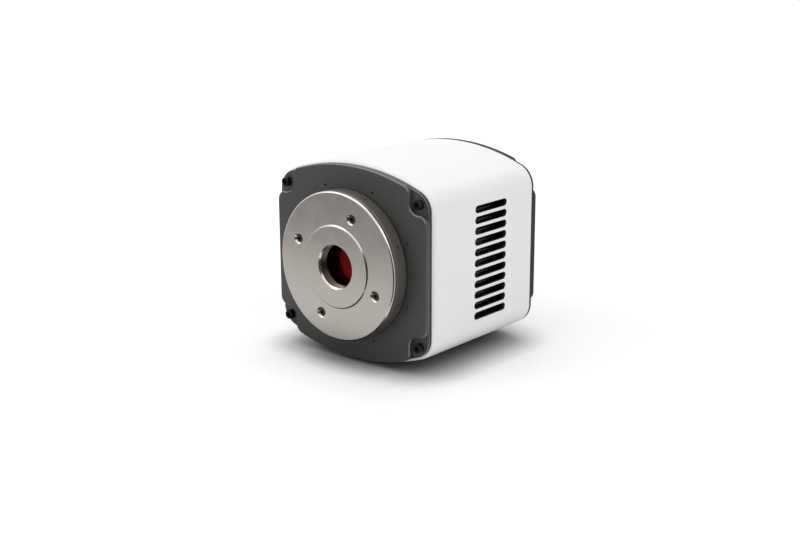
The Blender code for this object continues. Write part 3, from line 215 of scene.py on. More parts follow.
# %% [markdown]
# The end covers and the turret are bead-blasted aluminium, anodised dark grey. Blasting leaves
# dents about 0.15 mm wide, which is too fine to show here, so they are drawn 0.5 mm wide. The
# dye is never perfectly even. The milled chamfers are smoother, and their lighter grey is a
# painted highlight.

# %% Grey anodised aluminium, blasted
ANODISED = grain(
    "anodised_aluminium_blasted_grey", "#464646", "#4C4C4B", 0.50, 0.30, 0.5, 0.010, 0.07
)
# The chamfers' lighter grey is a painted highlight on smoother metal.
ANODISED_EDGE_HIGHLIGHT = grain(
    "anodised_aluminium_milled_edge_highlight", "#6C6C6C", "#767676", 0.34, 0.60, 0.5, 0.004, 0.04
)
TURRET_ANODISED = grain(
    "anodised_aluminium_turned_grey", "#605C58", "#686460", 0.42, 0.40, 0.4, 0.006, 0.05
)
REAR_ANODISED = grain(
    "anodised_aluminium_blasted_dark",
    "#1F1F1F",
    "#262626",
    0.58,
    0.1,
    0.5,
    0.010,
    0.07,
    Specular_IOR_Level=0.3,
)
# This black also serves as painted shade behind the front plate's flange.
BLACK_ANODISED_AND_GAP_SHADE = grain(
    "anodised_aluminium_black_and_gap_shade", "#1B1B1C", "#232324", 0.46, 0.25, 0.5, 0.010, 0.07
)
print(ANODISED.name, TURRET_ANODISED.name, REAR_ANODISED.name, BLACK_ANODISED_AND_GAP_SHADE.name)

# %% [markdown]
# The mount plate is steel, faced on a lathe and nickel plated to a satin. The tool's feed leaves
# rings about 0.2 mm apart. They are drawn 0.45 mm apart so that they show. The pattern depends
# only on the distance from the axis: that distance feeds a one-dimensional noise, which gives
# rings of uneven strength, as a real facing cut does.

# %% Nickel plate, lathe faced
CLOUD = 9 * MM
RING_SHARE = 0.5


def turned_metal(name, colour, second, roughness, feed_mm, depth_mm):
    """Metal whose marks are rings round the object's own Y axis."""
    made, tree, _ = start(name, colour, roughness, 1.0)
    where = {"Vector": node(tree, "ShaderNodeTexCoord").outputs["Object"]}
    split = node(tree, "ShaderNodeSeparateXYZ", {}, where)
    across = {"X": split.outputs["X"], "Z": split.outputs["Z"]}
    flat = node(tree, "ShaderNodeCombineXYZ", {}, across)
    length = {"operation": "LENGTH"}
    reach = node(tree, "ShaderNodeVectorMath", length, {0: flat.outputs["Vector"]})
    feed = {"noise_dimensions": "1D", "Scale": 1 / (feed_mm * MM), "Detail": 2.0}
    rings = node(tree, "ShaderNodeTexNoise", feed, {"W": reach.outputs["Value"]})
    uneven = {"Scale": 1 / CLOUD, "Detail": 3.0, "Roughness": 0.55}
    cloud = node(tree, "ShaderNodeTexNoise", uneven, where)
    share = {"operation": "MULTIPLY_ADD", 1: RING_SHARE}
    added = {0: rings.outputs["Fac"], 2: cloud.outputs["Fac"]}
    mixed = node(tree, "ShaderNodeMath", share, added)
    mix = mixed.outputs["Value"]
    polish = (roughness - 0.05, roughness + 0.07)
    return dress(made, (colour, second), mix, polish, mix, rings.outputs["Fac"], depth_mm)


NICKEL = turned_metal("nickel_plated_steel_faced", "#AFA8A3", "#BBB5AF", 0.30, 0.45, 0.003)
# The chamfer nickel is smoother, and lighter as a painted highlight.
NICKEL_EDGE_HIGHLIGHT = turned_metal("nickel_plated_steel_chamfer_highlight", "#D6D0CB", "#E0DBD6", 0.18, 0.45, 0.001)
# The bore nickel is darker as painted shade inside the throat and its thread.
NICKEL_BORE_SHADE = turned_metal("nickel_plated_steel_bore_painted_shade", "#4E4640", "#6A6058", 0.24, 0.45, 0.003)
STAINLESS = turned_metal("stainless_steel_turned", "#A9A7A4", "#B7B5B2", 0.26, 0.3, 0.002)
# The screw steel is darkened as painted shade, the shade down in the countersinks.
SCREW_STEEL_SHADE = turned_metal("stainless_steel_painted_shade", "#3A3734", "#474440", 0.34, 0.3, 0.002)
print(NICKEL.name, NICKEL_EDGE_HIGHLIGHT.name, NICKEL_BORE_SHADE.name, STAINLESS.name, SCREW_STEEL_SHADE.name)

# %% [markdown]
# Socket screws are black oxide on steel: a thin dark film that stays metallic, with a soft
# sheen and slightly worn, browner edges. Plastics are moulded ABS with a spark-eroded grain,
# and the seal is plain black rubber.

# %% Screws, plastic and rubber
BLACK_OXIDE = grain("steel_black_oxide", "#242322", "#302D2B", 0.28, 0.85, 0.6, 0.004)
ABS_BLACK = grain("abs_moulded_black", "#1C1C1D", "#232324", 0.40, 0.0, 0.5, 0.012)
NYLON_BLACK = grain("nylon_glass_filled_black", "#151516", "#1E1E1F", 0.42, 0.0, 0.7, 0.010)
RUBBER = grain("nitrile_rubber_black", "#101010", "#191919", 0.75, 0.0, 0.6, 0.010)
CERAMIC = grain("alumina_fired_white", "#CFCBC2", "#D8D5CD", 0.55, 0.0, 0.4, 0.006)
DARK_CERAMIC = grain("alumina_fired_dark", "#2B2727", "#332E2E", 0.50, 0.0, 0.4, 0.006)
COPPER = turned_metal("copper_milled", "#C07A58", "#CC8A68", 0.30, 0.3, 0.002)
GOLD = turned_metal("brass_gold_plated", "#C9A25A", "#D8B46C", 0.24, 0.25, 0.002)
SILICON = grain("silicon_sensor_die", "#182226", "#22303A", 0.16, 0.4, 0.3, 0.001, 0.03)
LIGHT_PIPE = grain("polycarbonate_green", "#6FAE7A", "#7FBC88", 0.22, 0.0, 0.8, 0.004)
print("plain finishes:", BLACK_OXIDE.name, ABS_BLACK.name, GOLD.name)

# %% [markdown]
# A circuit board is glass-fibre laminate under green solder mask. Copper tracks lie under the
# mask as lighter green lines about 0.5 mm wide, which a brick pattern suggests well enough for
# boards that are only seen through the vents.

# %% Circuit board
TRACK_CELL = 14 * MM
TRACK_HEIGHT = 0.03 * MM


def circuit_board():
    """Green mask with raised tracks."""
    made, tree, shader = start("fibreglass_board_green", "#1D4A2E", 0.38, 0.0)
    where = node(tree, "ShaderNodeTexCoord")
    tracks = node(
        tree,
        "ShaderNodeTexBrick",
        {
            "Scale": 1 / TRACK_CELL,
            "Mortar Size": 0.04,
            "Color1": linear("#1D4A2E"),
            "Color2": linear("#18402A"),
            "Mortar": linear("#3B7A4B"),
        },
        {"Vector": where.outputs["Object"]},
    )
    bump = node(
        tree, "ShaderNodeBump", {"Distance": TRACK_HEIGHT}, {"Height": tracks.outputs["Fac"]}
    )
    tree.links.new(tracks.outputs["Color"], shader.inputs["Base Color"])
    tree.links.new(bump.outputs["Normal"], shader.inputs["Normal"])
    return made


CIRCUIT_BOARD = circuit_board()
print(CIRCUIT_BOARD.name)

# %% [markdown]
# The chamber window is polished glass with a hard interference coating. It passes what the
# sensor needs and throws back a deep red. Thin layers reflect as a dyed metal does, so the
# shader is half metal and half dark clear glass. A drift in roughness stands for wiping marks.

# %% Coated window
WIPE_WIDTH = 6 * MM


def coated_window():
    """Dark clear glass with a red reflection."""
    made, tree, shader = start(
        "window_glass_coated_red",
        "#680202",
        0.20,
        0.5,
        Transmission_Weight=0.92,
        IOR=1.52,
        Specular_Tint=linear("#FF0E08"),
    )
    where = node(tree, "ShaderNodeTexCoord")
    size = {"Scale": 1 / WIPE_WIDTH, "Detail": 4.0}
    wipes = node(tree, "ShaderNodeTexNoise", size, {"Vector": where.outputs["Object"]})
    ends = {"To Min": 0.16, "To Max": 0.24}
    polish = node(tree, "ShaderNodeMapRange", ends, {"Value": wipes.outputs["Fac"]})
    tree.links.new(polish.outputs["Result"], shader.inputs["Roughness"])
    return made


WINDOW_GLASS = coated_window()
print(WINDOW_GLASS.name)

# %% [markdown]
# Shapes come from three ways of making, the ones a workshop uses. A lathe: a profile spun
# round the axis. A plate: an outline given thickness. A cut: one solid taken from another.
# First the lathe, with a helper that rounds a profile's corners so that edges catch light.

# %% Lathe work


def soften(corners, steps=4):
    """Points of a profile from (radius, y, rounding) corners, each corner a small curve."""
    points = []
    for index, (radius, y, rounding) in enumerate(corners):
        here = Vector((radius, y))
        before = Vector(corners[index - 1][:2]) - here
        after = Vector(corners[(index + 1) % len(corners)][:2]) - here
        reach = min(rounding, before.length * 0.45, after.length * 0.45)
        if reach <= 0:
            points.append(here)
            continue
        begin = here + before.normalized() * reach
        end = here + after.normalized() * reach
        for step in range(steps + 1):
            t = step / steps
            points.append(begin * (1 - t) ** 2 + here * 2 * t * (1 - t) + end * t**2)
    return points


def soften_open(corners):
    """As soften, for a profile that starts and ends on the axis."""
    points = soften(corners)
    points[0] = Vector(corners[0][:2])
    points[-1] = Vector(corners[-1][:2])
    return points


def piece_from(bm, name, materials, location=(0, 0, 0), flat_angle=30):
    """A finished object from a bmesh, smooth shaded but for its real edges."""
    bmesh.ops.remove_doubles(bm, verts=bm.verts, dist=0.0005 * MM)
    bmesh.ops.recalc_face_normals(bm, faces=bm.faces)
    mesh = bpy.data.meshes.new(name)
    bm.to_mesh(mesh)
    bm.free()
    made = bpy.data.objects.new(name, mesh)
    made.location = location
    bpy.context.scene.collection.objects.link(made)
    for finish in materials:
        mesh.materials.append(finish)
    mesh.shade_smooth()
    mesh.set_sharp_from_angle(angle=math.radians(flat_angle))
    return made


def turned(name, corners, materials, spot=(0, AXIS_Z), steps=192, closed=True):
    """A body spun round Y. An open profile starts and ends on the axis."""
    points = soften(corners) if closed else soften_open(corners)
    bm = bmesh.new()
    verts = [bm.verts.new((point[0], point[1], 0)) for point in points]
    pairs = list(zip(verts, verts[1:])) + ([(verts[-1], verts[0])] if closed else [])
    edges = [bm.edges.new(pair) for pair in pairs]
    bmesh.ops.spin(
        bm,
        geom=verts + edges,
        cent=(0, 0, 0),
        axis=(0, 1, 0),
        angle=2 * math.pi,
        steps=steps,
        use_merge=True,
    )
    return piece_from(bm, name, materials, (spot[0], 0, spot[1]))


# %% [markdown]
# Plates: an outline is a list of (x, z) points. It becomes one face, the face is extruded to
# the rear, and the front or rear rim gets its chamfer with a bevel whose faces may have a
# material of their own.

# %% Plate work


def push(bm, corners, way):
    """Make one face from its corners and extrude it along a vector."""
    face = bm.faces.new([bm.verts.new(corner) for corner in corners])
    grown = bmesh.ops.extrude_face_region(bm, geom=[face])
    moved = [item for item in grown["geom"] if isinstance(item, bmesh.types.BMVert)]
    bmesh.ops.translate(bm, verts=moved, vec=way)


def slab(name, outline, front, rear, materials, front_edge=0, rear_edge=0, edge_material=0):
    """An outline extruded along Y, with a chamfer at its front or rear rim."""
    bm = bmesh.new()
    push(bm, [(x, front, z) for x, z in outline], (0, rear - front, 0))
    bmesh.ops.recalc_face_normals(bm, faces=bm.faces)
    for place, width in ((front, front_edge), (rear, rear_edge)):
        if width:
            rim = [
                edge
                for edge in bm.edges
                if all(abs(vert.co.y - place) < 0.001 * MM for vert in edge.verts)
            ]
            bmesh.ops.bevel(
                bm,
                geom=rim,
                offset=width,
                segments=1,
                profile=0.5,
                affect="EDGES",
                material=edge_material,
            )
    return piece_from(bm, name, materials)


def rods(name, radius, front, rear, spots, steps=48, tip=None):
    """Round rods along Y at (x, z) spots, for drilling. A tip radius makes them taper."""
    bm = bmesh.new()
    for x, z in spots:
        place = Matrix.Translation((x, (front + rear) / 2, z))
        bmesh.ops.create_cone(
            bm,
            cap_ends=True,
            segments=steps,
            radius1=radius,
            radius2=radius if tip is None else tip,
            depth=rear - front,
            matrix=place @ Matrix.Rotation(math.pi / 2, 4, "X"),
        )
    return piece_from(bm, name, [])


def blocks(name, boxes):
    """Boxes in one mesh, each (x, y, z size, centre), for milling."""
    bm = bmesh.new()
    for size, centre in boxes:
        spot = Matrix.Translation(centre) @ Matrix.Diagonal((*size, 1))
        bmesh.ops.create_cube(bm, size=1, matrix=spot)
    return piece_from(bm, name, [])


# %% [markdown]
# Cuts: a Boolean takes a tool away from a piece, or joins a filler to it. The result is stored
# as the piece's own mesh at once and the tool is deleted, so no hidden tools stay behind. The
# last step breaks every sharp edge by a tenth of a millimetre or so, as deburring does.

# %% Cutting and deburring
OVER = 1 * MM  # how far a short tool starts outside the metal
THROUGH = 5 * MM  # the same for a tool that goes right through
EDGE_ANGLE = 35  # degrees, above which an edge is a real one


def settle(piece):
    """Store what the modifiers make as the piece's own mesh."""
    state = bpy.context.evaluated_depsgraph_get()
    made = bpy.data.meshes.new_from_object(piece.evaluated_get(state))
    made.name = piece.name
    piece.modifiers.clear()
    piece.data = made


def combine(piece, tool, operation="DIFFERENCE"):
    """Cut a tool from a piece, or join it, and remove the tool."""
    step = piece.modifiers.new(tool.name, "BOOLEAN")
    step.operation = operation
    step.object = tool
    bpy.context.view_layer.update()
    settle(piece)
    bpy.data.objects.remove(tool, do_unlink=True)


def crisp(piece, angle=EDGE_ANGLE):
    """Smooth the faces, keep real edges sharp, and let large flat faces stay flat."""
    piece.data.shade_smooth()
    piece.data.set_sharp_from_angle(angle=math.radians(angle))
    flatter = piece.modifiers.new("flat_faces", "WEIGHTED_NORMAL")
    flatter.keep_sharp = True
    flatter.weight = 80
    settle(piece)


def deburr(piece, width_mm, steps=2):
    """Round every real edge."""
    rounding = piece.modifiers.new("deburring", "BEVEL")
    rounding.width = width_mm * MM
    rounding.segments = steps
    rounding.angle_limit = math.radians(EDGE_ANGLE)
    settle(piece)
    crisp(piece)


# %% [markdown]
# Every piece rides on a body of the frame and hides the CAD nodes that it stands for. One
# helper does both.

# %% Placing pieces on bodies


def mount(piece, slot, *stands_for, body="camera"):
    """Fix a finished piece to its body."""
    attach(piece, body)
    if stands_for:
        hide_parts(*stands_for)
    return piece


def finish_node(name, finish):
    """Give a CAD node that stays its own finish."""
    for place in nodes[name].material_slots:
        place.material = finish
    nodes[name].data.shade_smooth()


print("workshop ready")

# %% [markdown]
# The lens mount plate. On the real camera it is one turned part: a disc, a raised seat that a
# lens shoulder meets, a throat with a 1 inch by 32 threads per inch thread, and a collar behind.
# It is spun from one profile with 192 steps, so its rim stays round close up. The seat's broad
# chamfer and the rim's chamfer are smoother from the tool, and their lighter nickel is a
# painted highlight. The throat's darker nickel is painted shade.

# %% Mount plate
BOSS_R = 24.7 * MM
BOSS_CHAMFER = 0.8 * MM
RIM_CHAMFER = 0.7 * MM
THROAT_R = 12.3 * MM
THREAD_ROOT = 12.7 * MM
THREAD_BACK = THREAD_ROOT + 0.1 * MM
THREAD_PITCH = 25.4 * MM / 32
THROAT_CHAMFER = 1.0 * MM
COLLAR_R = 16.0 * MM
RELIEF = 0.5 * MM
thread_front = BOSS_FACE + 1.3 * MM

plate = turned(
    "mount_plate_turned",
    [
        (THROAT_R + THROAT_CHAMFER, BOSS_FACE, 0.06 * MM),
        (BOSS_R - BOSS_CHAMFER, BOSS_FACE, 0.08 * MM),
        (BOSS_R, PLATE_FACE, 0.05 * MM),
        (PLATE_R - RIM_CHAMFER, PLATE_FACE, 0.30 * MM),
        (PLATE_R, PLATE_FACE + RIM_CHAMFER, 0.30 * MM),
        (PLATE_R, PLATE_REAR - RELIEF, 0.05 * MM),
        (PLATE_R - RELIEF, PLATE_REAR, 0.05 * MM),
        (COLLAR_R, PLATE_REAR, 0.05 * MM),
        (COLLAR_R, THROAT_REAR, 0.15 * MM),
        (THREAD_BACK, THROAT_REAR, 0.1 * MM),
        (THREAD_BACK, thread_front, 0),
        (THROAT_R, thread_front, 0.04 * MM),
        (THROAT_R, BOSS_FACE + THROAT_CHAMFER, 0.05 * MM),
    ],
    [NICKEL, NICKEL_EDGE_HIGHLIGHT, NICKEL_BORE_SHADE],
)

# %% [markdown]
# Four countersunk screws hold the plate. A countersink is a cone, so the tool is spun too: a
# short straight rim, the cone, then the shank's hole. The spots come from the frame's screws.

# %% Countersinks and their screws
SINK_RIM = 3.15 * MM
SINK_BREAK = 0.15 * MM
SINK_DEPTH = 1.6 * MM
SHANK_HOLE = 1.8 * MM
mount_screws = numbered("mount_screw", 4)
for screw, spot in zip(mount_screws, spots(mount_screws)):
    sink = turned(
        screw + "_sink",
        [
            (0, PLATE_FACE - OVER, 0),
            (SINK_RIM + SINK_BREAK, PLATE_FACE - OVER, 0),
            (SINK_RIM + SINK_BREAK, PLATE_FACE, 0),
            (SINK_RIM, PLATE_FACE + 0.2 * MM, 0),
            (SHANK_HOLE, PLATE_FACE + SINK_DEPTH, 0),
            (SHANK_HOLE, PLATE_REAR + OVER, 0),
            (0, PLATE_REAR + OVER, 0),
        ],
        [NICKEL_EDGE_HIGHLIGHT],
        spot,
        steps=40,
        closed=False,
    )
    combine(plate, sink)

# Throat faces get the darker nickel as painted shade; slanted faces, chamfers and sinks, the
# lighter nickel as a painted highlight.
for face in plate.data.polygons:
    out = Vector((face.center.x, face.center.z))
    slanted = 0.25 < abs(face.normal.y) < 0.95
    inside = out.length < THREAD_ROOT + 0.2 * MM and face.center.y > BOSS_FACE + THROAT_CHAMFER
    face.material_index = 2 if inside else 1 if slanted else 0
crisp(plate)
mount(plate, "nickel_plate", "mount_plate")
print(plate.name, len(plate.data.polygons), "faces")

# %% [markdown]
# The thread itself is a helix. One tooth's outline is copied along a screw path, moving one
# pitch for each turn. It lies just inside the throat, crest at the CAD's bore, root behind it.

# %% Lens thread


def helical_thread(name, crest, root, pitch, front, turns, steps=96):
    """A thread of one start on the inside of a bore, as one long twisted strip."""
    bm = bmesh.new()
    tooth = [(root, 0.0), (crest, 0.44), (crest, 0.56), (root, 1.0)]  # radius, share of a pitch
    rows = []
    for step in range(turns * steps + 1):
        turn = 2 * math.pi * step / steps
        rise = front + pitch * step / steps
        rows.append(
            [
                bm.verts.new((r * math.cos(turn), rise + share * pitch, r * math.sin(turn)))
                for r, share in tooth
            ]
        )
    for first, second in zip(rows, rows[1:]):
        for a, b, c, d in zip(first, first[1:], second[1:], second):
            bm.faces.new((a, b, c, d))
    return piece_from(bm, name, [NICKEL_BORE_SHADE], (0, 0, AXIS_Z), 20)


THREAD_WALL = 0.05 * MM
thread_turns = int((THROAT_REAR - thread_front) / THREAD_PITCH) - 1
thread = helical_thread(
    "lens_thread", THROAT_R, THREAD_BACK, THREAD_PITCH, thread_front, thread_turns
)
thickness = thread.modifiers.new("wall", "SOLIDIFY")
thickness.thickness = THREAD_WALL
thickness.offset = -1
settle(thread)
mount(thread, "nickel_plate")
print("thread:", thread_turns, "turns of", round(THREAD_PITCH / MM, 3), "mm")

# %% [markdown]
# The countersunk screws: a flat head whose cone matches the sink, with a hexagon socket. The
# head's edge is rounded, so it shows as a thin bright ring inside the dark gap. The heads'
# dark steel is painted shade, the shade down in the sinks.

# %% Screw heads
HEAD_R = 2.3 * MM
HEAD_DEEPER = 0.5 * MM
SHANK_R = 1.5 * MM
SOCKET_FLATS = 2.0 * MM
SOCKET_DEPTH = 1.3 * MM


def hexagon(flats, x, z):
    """Six (x, z) corners of a hexagon given across its flats."""
    reach = flats / math.sqrt(3)
    turns = [math.pi / 3 * side for side in range(6)]
    return [(x + reach * math.cos(turn), z + reach * math.sin(turn)) for turn in turns]


for screw, spot in zip(mount_screws, spots(mount_screws)):
    face, tail = low(screw).y + HEAD_DEEPER, high(screw).y
    head = turned(
        screw + "_turned",
        [
            (0, face, 0),
            (HEAD_R, face, 0.12 * MM),
            (SHANK_R, face + HEAD_R - SHANK_R, 0.1 * MM),
            (SHANK_R, tail, 0.2 * MM),
            (0, tail, 0),
        ],
        [SCREW_STEEL_SHADE],
        spot,
        steps=48,
        closed=False,
    )
    key = hexagon(SOCKET_FLATS, *spot)
    combine(head, slab(screw + "_key", key, face - OVER, face + SOCKET_DEPTH, [BLACK_OXIDE]))
    crisp(head)
    mount(head, "stainless", screw)
print(len(mount_screws), "countersunk screws")

# %% [markdown]
# The turret: the dark ring that carries the plate. It is turned too, with a relief at each end
# that makes the thin dark lines above and below it, and eight small set-screw holes round its
# wall. The holes are drilled towards the axis, halfway between its ends.

# %% Turret ring
HOLE_COUNT = 8
HOLE_R = 0.8 * MM
HOLE_DEPTH = 1.6 * MM
HOLE_Y = PAD_FRONT - 4.2 * MM
HOLE_START = math.radians(22.5)
HOLE_TURNS = [HOLE_START + 2 * math.pi * number / HOLE_COUNT for number in range(HOLE_COUNT)]
TAP_DEPTH = 3.6 * MM
RING_RELIEF = 0.7 * MM
NOSE_FRONT = low("chamber_body").y
NOSE_BORE = 24.1 * MM

turret = turned(
    "turret_ring_turned",
    [
        (COLLAR_R + 0.3 * MM, TURRET_FRONT, 0.1 * MM),
        (PLATE_R - RELIEF, TURRET_FRONT, 0.05 * MM),
        (PLATE_R, TURRET_FRONT + RELIEF, 0.1 * MM),
        (PLATE_R, TURRET_REAR - RING_RELIEF, 0.1 * MM),
        (PLATE_R - RING_RELIEF, TURRET_REAR - RING_RELIEF, 0.1 * MM),
        (PLATE_R - RING_RELIEF, TURRET_REAR, 0.05 * MM),
        (NOSE_BORE, TURRET_REAR, 0.1 * MM),
        (NOSE_BORE, NOSE_FRONT - 0.3 * MM, 0.1 * MM),
        (COLLAR_R + 0.3 * MM, NOSE_FRONT - 0.3 * MM, 0.1 * MM),
    ],
    [TURRET_ANODISED],
)
drills = bmesh.new()
for turn in HOLE_TURNS:
    out = Vector((math.cos(turn), 0, math.sin(turn)))
    aim = Matrix.Rotation(math.pi / 2 - turn, 4, "Y")
    spot = Vector((0, HOLE_Y, AXIS_Z)) + out * PLATE_R
    bmesh.ops.create_cone(
        drills,
        cap_ends=True,
        segments=24,
        radius1=HOLE_R,
        radius2=HOLE_R,
        depth=2 * HOLE_DEPTH,
        matrix=Matrix.Translation(spot) @ aim,
    )
combine(turret, piece_from(drills, "turret_drills", []))
taps = (TURRET_FRONT - OVER, TURRET_FRONT + TAP_DEPTH)
combine(turret, rods("turret_taps", SHANK_HOLE, *taps, spots(mount_screws)))
crisp(turret)
mount(turret, "grey_anodised", "turret_ring")
print(turret.name, HOLE_COUNT, "set-screw holes")

# %% [markdown]
# The housing's outline is shared by the sleeve and both covers: flat sides, round corners and
# an arched top and bottom. It is worked out from two circles that touch, the corner's and the
# arch's, so any inset of it stays parallel. The covers' pads have a scallop round each corner
# screw, with a fillet where the scallop runs into the side and into the arch.

# %% Outlines
BOW_DROP = 13.43 * MM
BOW_R = (HALF_WIDTH**2 + BOW_DROP**2) / (2 * BOW_DROP)
BOW_CENTRE = HALF_HEIGHT - BOW_R
CORNER_R = 13.9 * MM
SCREW_X = middle("front_corner_screw_1").x
SCREW_RISE = middle("front_corner_screw_1").z - AXIS_Z
POCKET_R = 5.9 * MM
PAD_FILLET = 5.6 * MM


def arc(x, z, radius, begin, end, steps):
    """Points along an arc, both ends included."""
    turns = [begin + (end - begin) * step / steps for step in range(steps + 1)]
    return [(x + radius * math.cos(turn), z + radius * math.sin(turn)) for turn in turns]


def all_round(quarter):
    """A closed outline from its upper right quarter, lifted to the optical axis."""
    upper = quarter + [(-x, z) for x, z in reversed(quarter[:-1])]
    whole = upper + [(-x, -z) for x, z in upper]
    tidy = []
    for x, z in whole:
        if not tidy or math.dist((x, z + AXIS_Z), tidy[-1]) > 0.01 * MM:
            tidy.append((x, z + AXIS_Z))
    if math.dist(tidy[0], tidy[-1]) < 0.01 * MM:
        tidy.pop()
    return tidy


def bow_turn(x, radius):
    """Where a circle on the arch's offset lies: its angle and its height."""
    up = math.sqrt(radius**2 - x**2)
    return math.atan2(up, x), BOW_CENTRE + up


def housing_outline(inset):
    """The housing's outline, moved inwards by an inset."""
    x = HALF_WIDTH - CORNER_R
    turn, up = bow_turn(x, BOW_R - CORNER_R)
    corner = arc(x, up, CORNER_R - inset, 0, turn, 18)
    return all_round(corner + arc(0, BOW_CENTRE, BOW_R - inset, turn, math.pi / 2, 24)[1:])


def pad_outline(inset):
    """The raised pad: the housing's outline with four scallops."""
    side_x = HALF_WIDTH - inset - PAD_FILLET
    side_up = SCREW_RISE - POCKET_R - PAD_FILLET
    side = arc(side_x, side_up, PAD_FILLET, 0, math.pi / 2, 12)
    scallop = arc(SCREW_X, SCREW_RISE, POCKET_R, 1.5 * math.pi, math.pi, 14)
    top_x = SCREW_X - POCKET_R - PAD_FILLET
    turn, up = bow_turn(top_x, BOW_R - inset - PAD_FILLET)
    top = arc(top_x, up, PAD_FILLET, 0, turn, 12)
    bow = arc(0, BOW_CENTRE, BOW_R - inset, turn, math.pi / 2, 18)
    return all_round(side + scallop + top + bow[1:])


print("outline points:", len(housing_outline(0)), len(pad_outline(0)))

# %% [markdown]
# The front plate: a flange, a raised pad in front of it and a spigot that locates the sleeve.
# The pad's front rim has a 0.6 mm milled chamfer that shows as a light line, partly a painted
# highlight. Four pockets hold the corner screws' heads, and eight small dimples ring the turret.
# Each dimple is a drilled hole whose mouth a cone opens a little. The faces behind the flange
# get black as painted shade, so the gap in front of the sleeve stays dark.

# %% Front plate
PAD_INSET = 1.34 * MM
PAD_CHAMFER = 0.6 * MM
FLANGE_FRONT = PAD_FRONT + 2.8 * MM
FLANGE_REAR = SLEEVE_FRONT - 0.8 * MM
FLANGE_INSET = 1.7 * MM
SPIGOT_INSET = 2.3 * MM
DIMPLE_R = 0.8 * MM
DIMPLE_DEPTH = 1.0 * MM
DIMPLE_MOUTH = 0.45 * MM
DIMPLE_RING = PLATE_R + 3.4 * MM
inside_flange = (FLANGE_FRONT + FLANGE_REAR) / 2
plate_finishes = [ANODISED, ANODISED_EDGE_HIGHLIGHT]

front = slab(
    "front_plate_milled",
    pad_outline(PAD_INSET),
    PAD_FRONT,
    inside_flange,
    plate_finishes,
    front_edge=PAD_CHAMFER,
    edge_material=1,
)
flange = slab(
    "front_flange",
    housing_outline(FLANGE_INSET),
    FLANGE_FRONT,
    FLANGE_REAR,
    plate_finishes,
    front_edge=0.3 * MM,
    rear_edge=0.3 * MM,
    edge_material=1,
)
combine(front, flange, "UNION")
spigot = slab(
    "front_spigot",
    housing_outline(SPIGOT_INSET),
    inside_flange,
    high("front_plate").y,
    plate_finishes,
)
combine(front, spigot, "UNION")
nose_ends = (PAD_FRONT - THROUGH, SLEEVE_FRONT + THROUGH)
combine(front, rods("nose_bore", NOSE_BORE, *nose_ends, [(0, AXIS_Z)], 128))
corner_spots = spots(numbered("front_corner_screw", 4))
tap_ends = (PAD_FRONT - OVER, SLEEVE_FRONT + THROUGH)
combine(front, rods("corner_taps", SHANK_HOLE, *tap_ends, corner_spots, 24))
dimples = [
    (DIMPLE_RING * math.cos(turn), AXIS_Z + DIMPLE_RING * math.sin(turn)) for turn in HOLE_TURNS
]
drill_ends = (PAD_FRONT - OVER, PAD_FRONT + DIMPLE_DEPTH)
combine(front, rods("dimple_drill", DIMPLE_R, *drill_ends, dimples, 24))
mouth_ends = (PAD_FRONT - DIMPLE_MOUTH, PAD_FRONT + DIMPLE_MOUTH)
narrow, wide = DIMPLE_R - DIMPLE_MOUTH, DIMPLE_R + 2 * DIMPLE_MOUTH
combine(front, rods("mouth_drill", narrow, *mouth_ends, dimples, 24, tip=wide))
deburr(front, 0.08)
# Faces behind the flange get black as painted shade for the gap in front of the sleeve.
front.data.materials.append(BLACK_ANODISED_AND_GAP_SHADE)
for face in front.data.polygons:
    if face.center.y > FLANGE_REAR + 0.02 * MM:
        face.material_index = 2
mount(front, "grey_anodised", "front_plate")
print(front.name, len(front.data.polygons), "faces")

# %% [markdown]
# Socket cap screws: the head's side is knurled for fingers, with about 36 ridges, and a
# hexagon key fits its face. Ridges come from pushing every second ring vertex inwards.

# %% Cap screws
CAP_R = 2.75 * MM
CAP_H = 3.0 * MM
CAP_KNURL = 0.09 * MM
CAP_RIDGES = 36
KEY_FLATS = 2.5 * MM
KNURL_ANGLE = 25


def knurled_head(name, spot, face, seat, tail):
    """A cap screw along Y from its face to its tail. Seat is the head's underside."""
    inward = 1 if seat > face else -1
    bm = bmesh.new()
    rings = [
        (0.0, CAP_R - 0.35 * MM, face),
        (0.0, CAP_R - 0.12 * MM, face + inward * 0.08 * MM),
        (CAP_KNURL, CAP_R, face + inward * 0.32 * MM),
        (CAP_KNURL, CAP_R, seat),
        (0.0, SHANK_R, seat),
        (0.0, SHANK_R, tail),
    ]
    rows = []
    for knurl, ring_r, y in rings:
        row = []
        for step in range(2 * CAP_RIDGES):
            turn = math.pi * step / CAP_RIDGES
            reach = ring_r - (knurl if step % 2 else 0)
            row.append(bm.verts.new((reach * math.cos(turn), y, reach * math.sin(turn))))
        rows.append(row)
    for first, second in zip(rows, rows[1:]):
        for step in range(2 * CAP_RIDGES):
            after = (step + 1) % (2 * CAP_RIDGES)
            bm.faces.new((first[step], first[after], second[after], second[step]))
    bm.faces.new(rows[0])
    bm.faces.new(rows[-1])
    head = piece_from(bm, name, [BLACK_OXIDE], (spot[0], 0, spot[1]), KNURL_ANGLE)
    ends = sorted((face - inward * OVER, face + inward * SOCKET_DEPTH))
    combine(head, slab(name + "_key", hexagon(KEY_FLATS, *spot), *ends, [BLACK_OXIDE]))
    crisp(head, KNURL_ANGLE)
    return head


for number in range(1, 5):
    for place in ("front", "rear"):
        screw = f"{place}_corner_screw_{number}"
        if place == "front":
            face, tail = low(screw).y, high(screw).y
            seat = face + CAP_H
        else:
            face, tail = high(screw).y, low(screw).y
            seat = face - CAP_H
        head = knurled_head(screw + "_knurled", spots([screw])[0], face, seat, tail)
        mount(head, "black_oxide", screw)
print("8 corner screws")

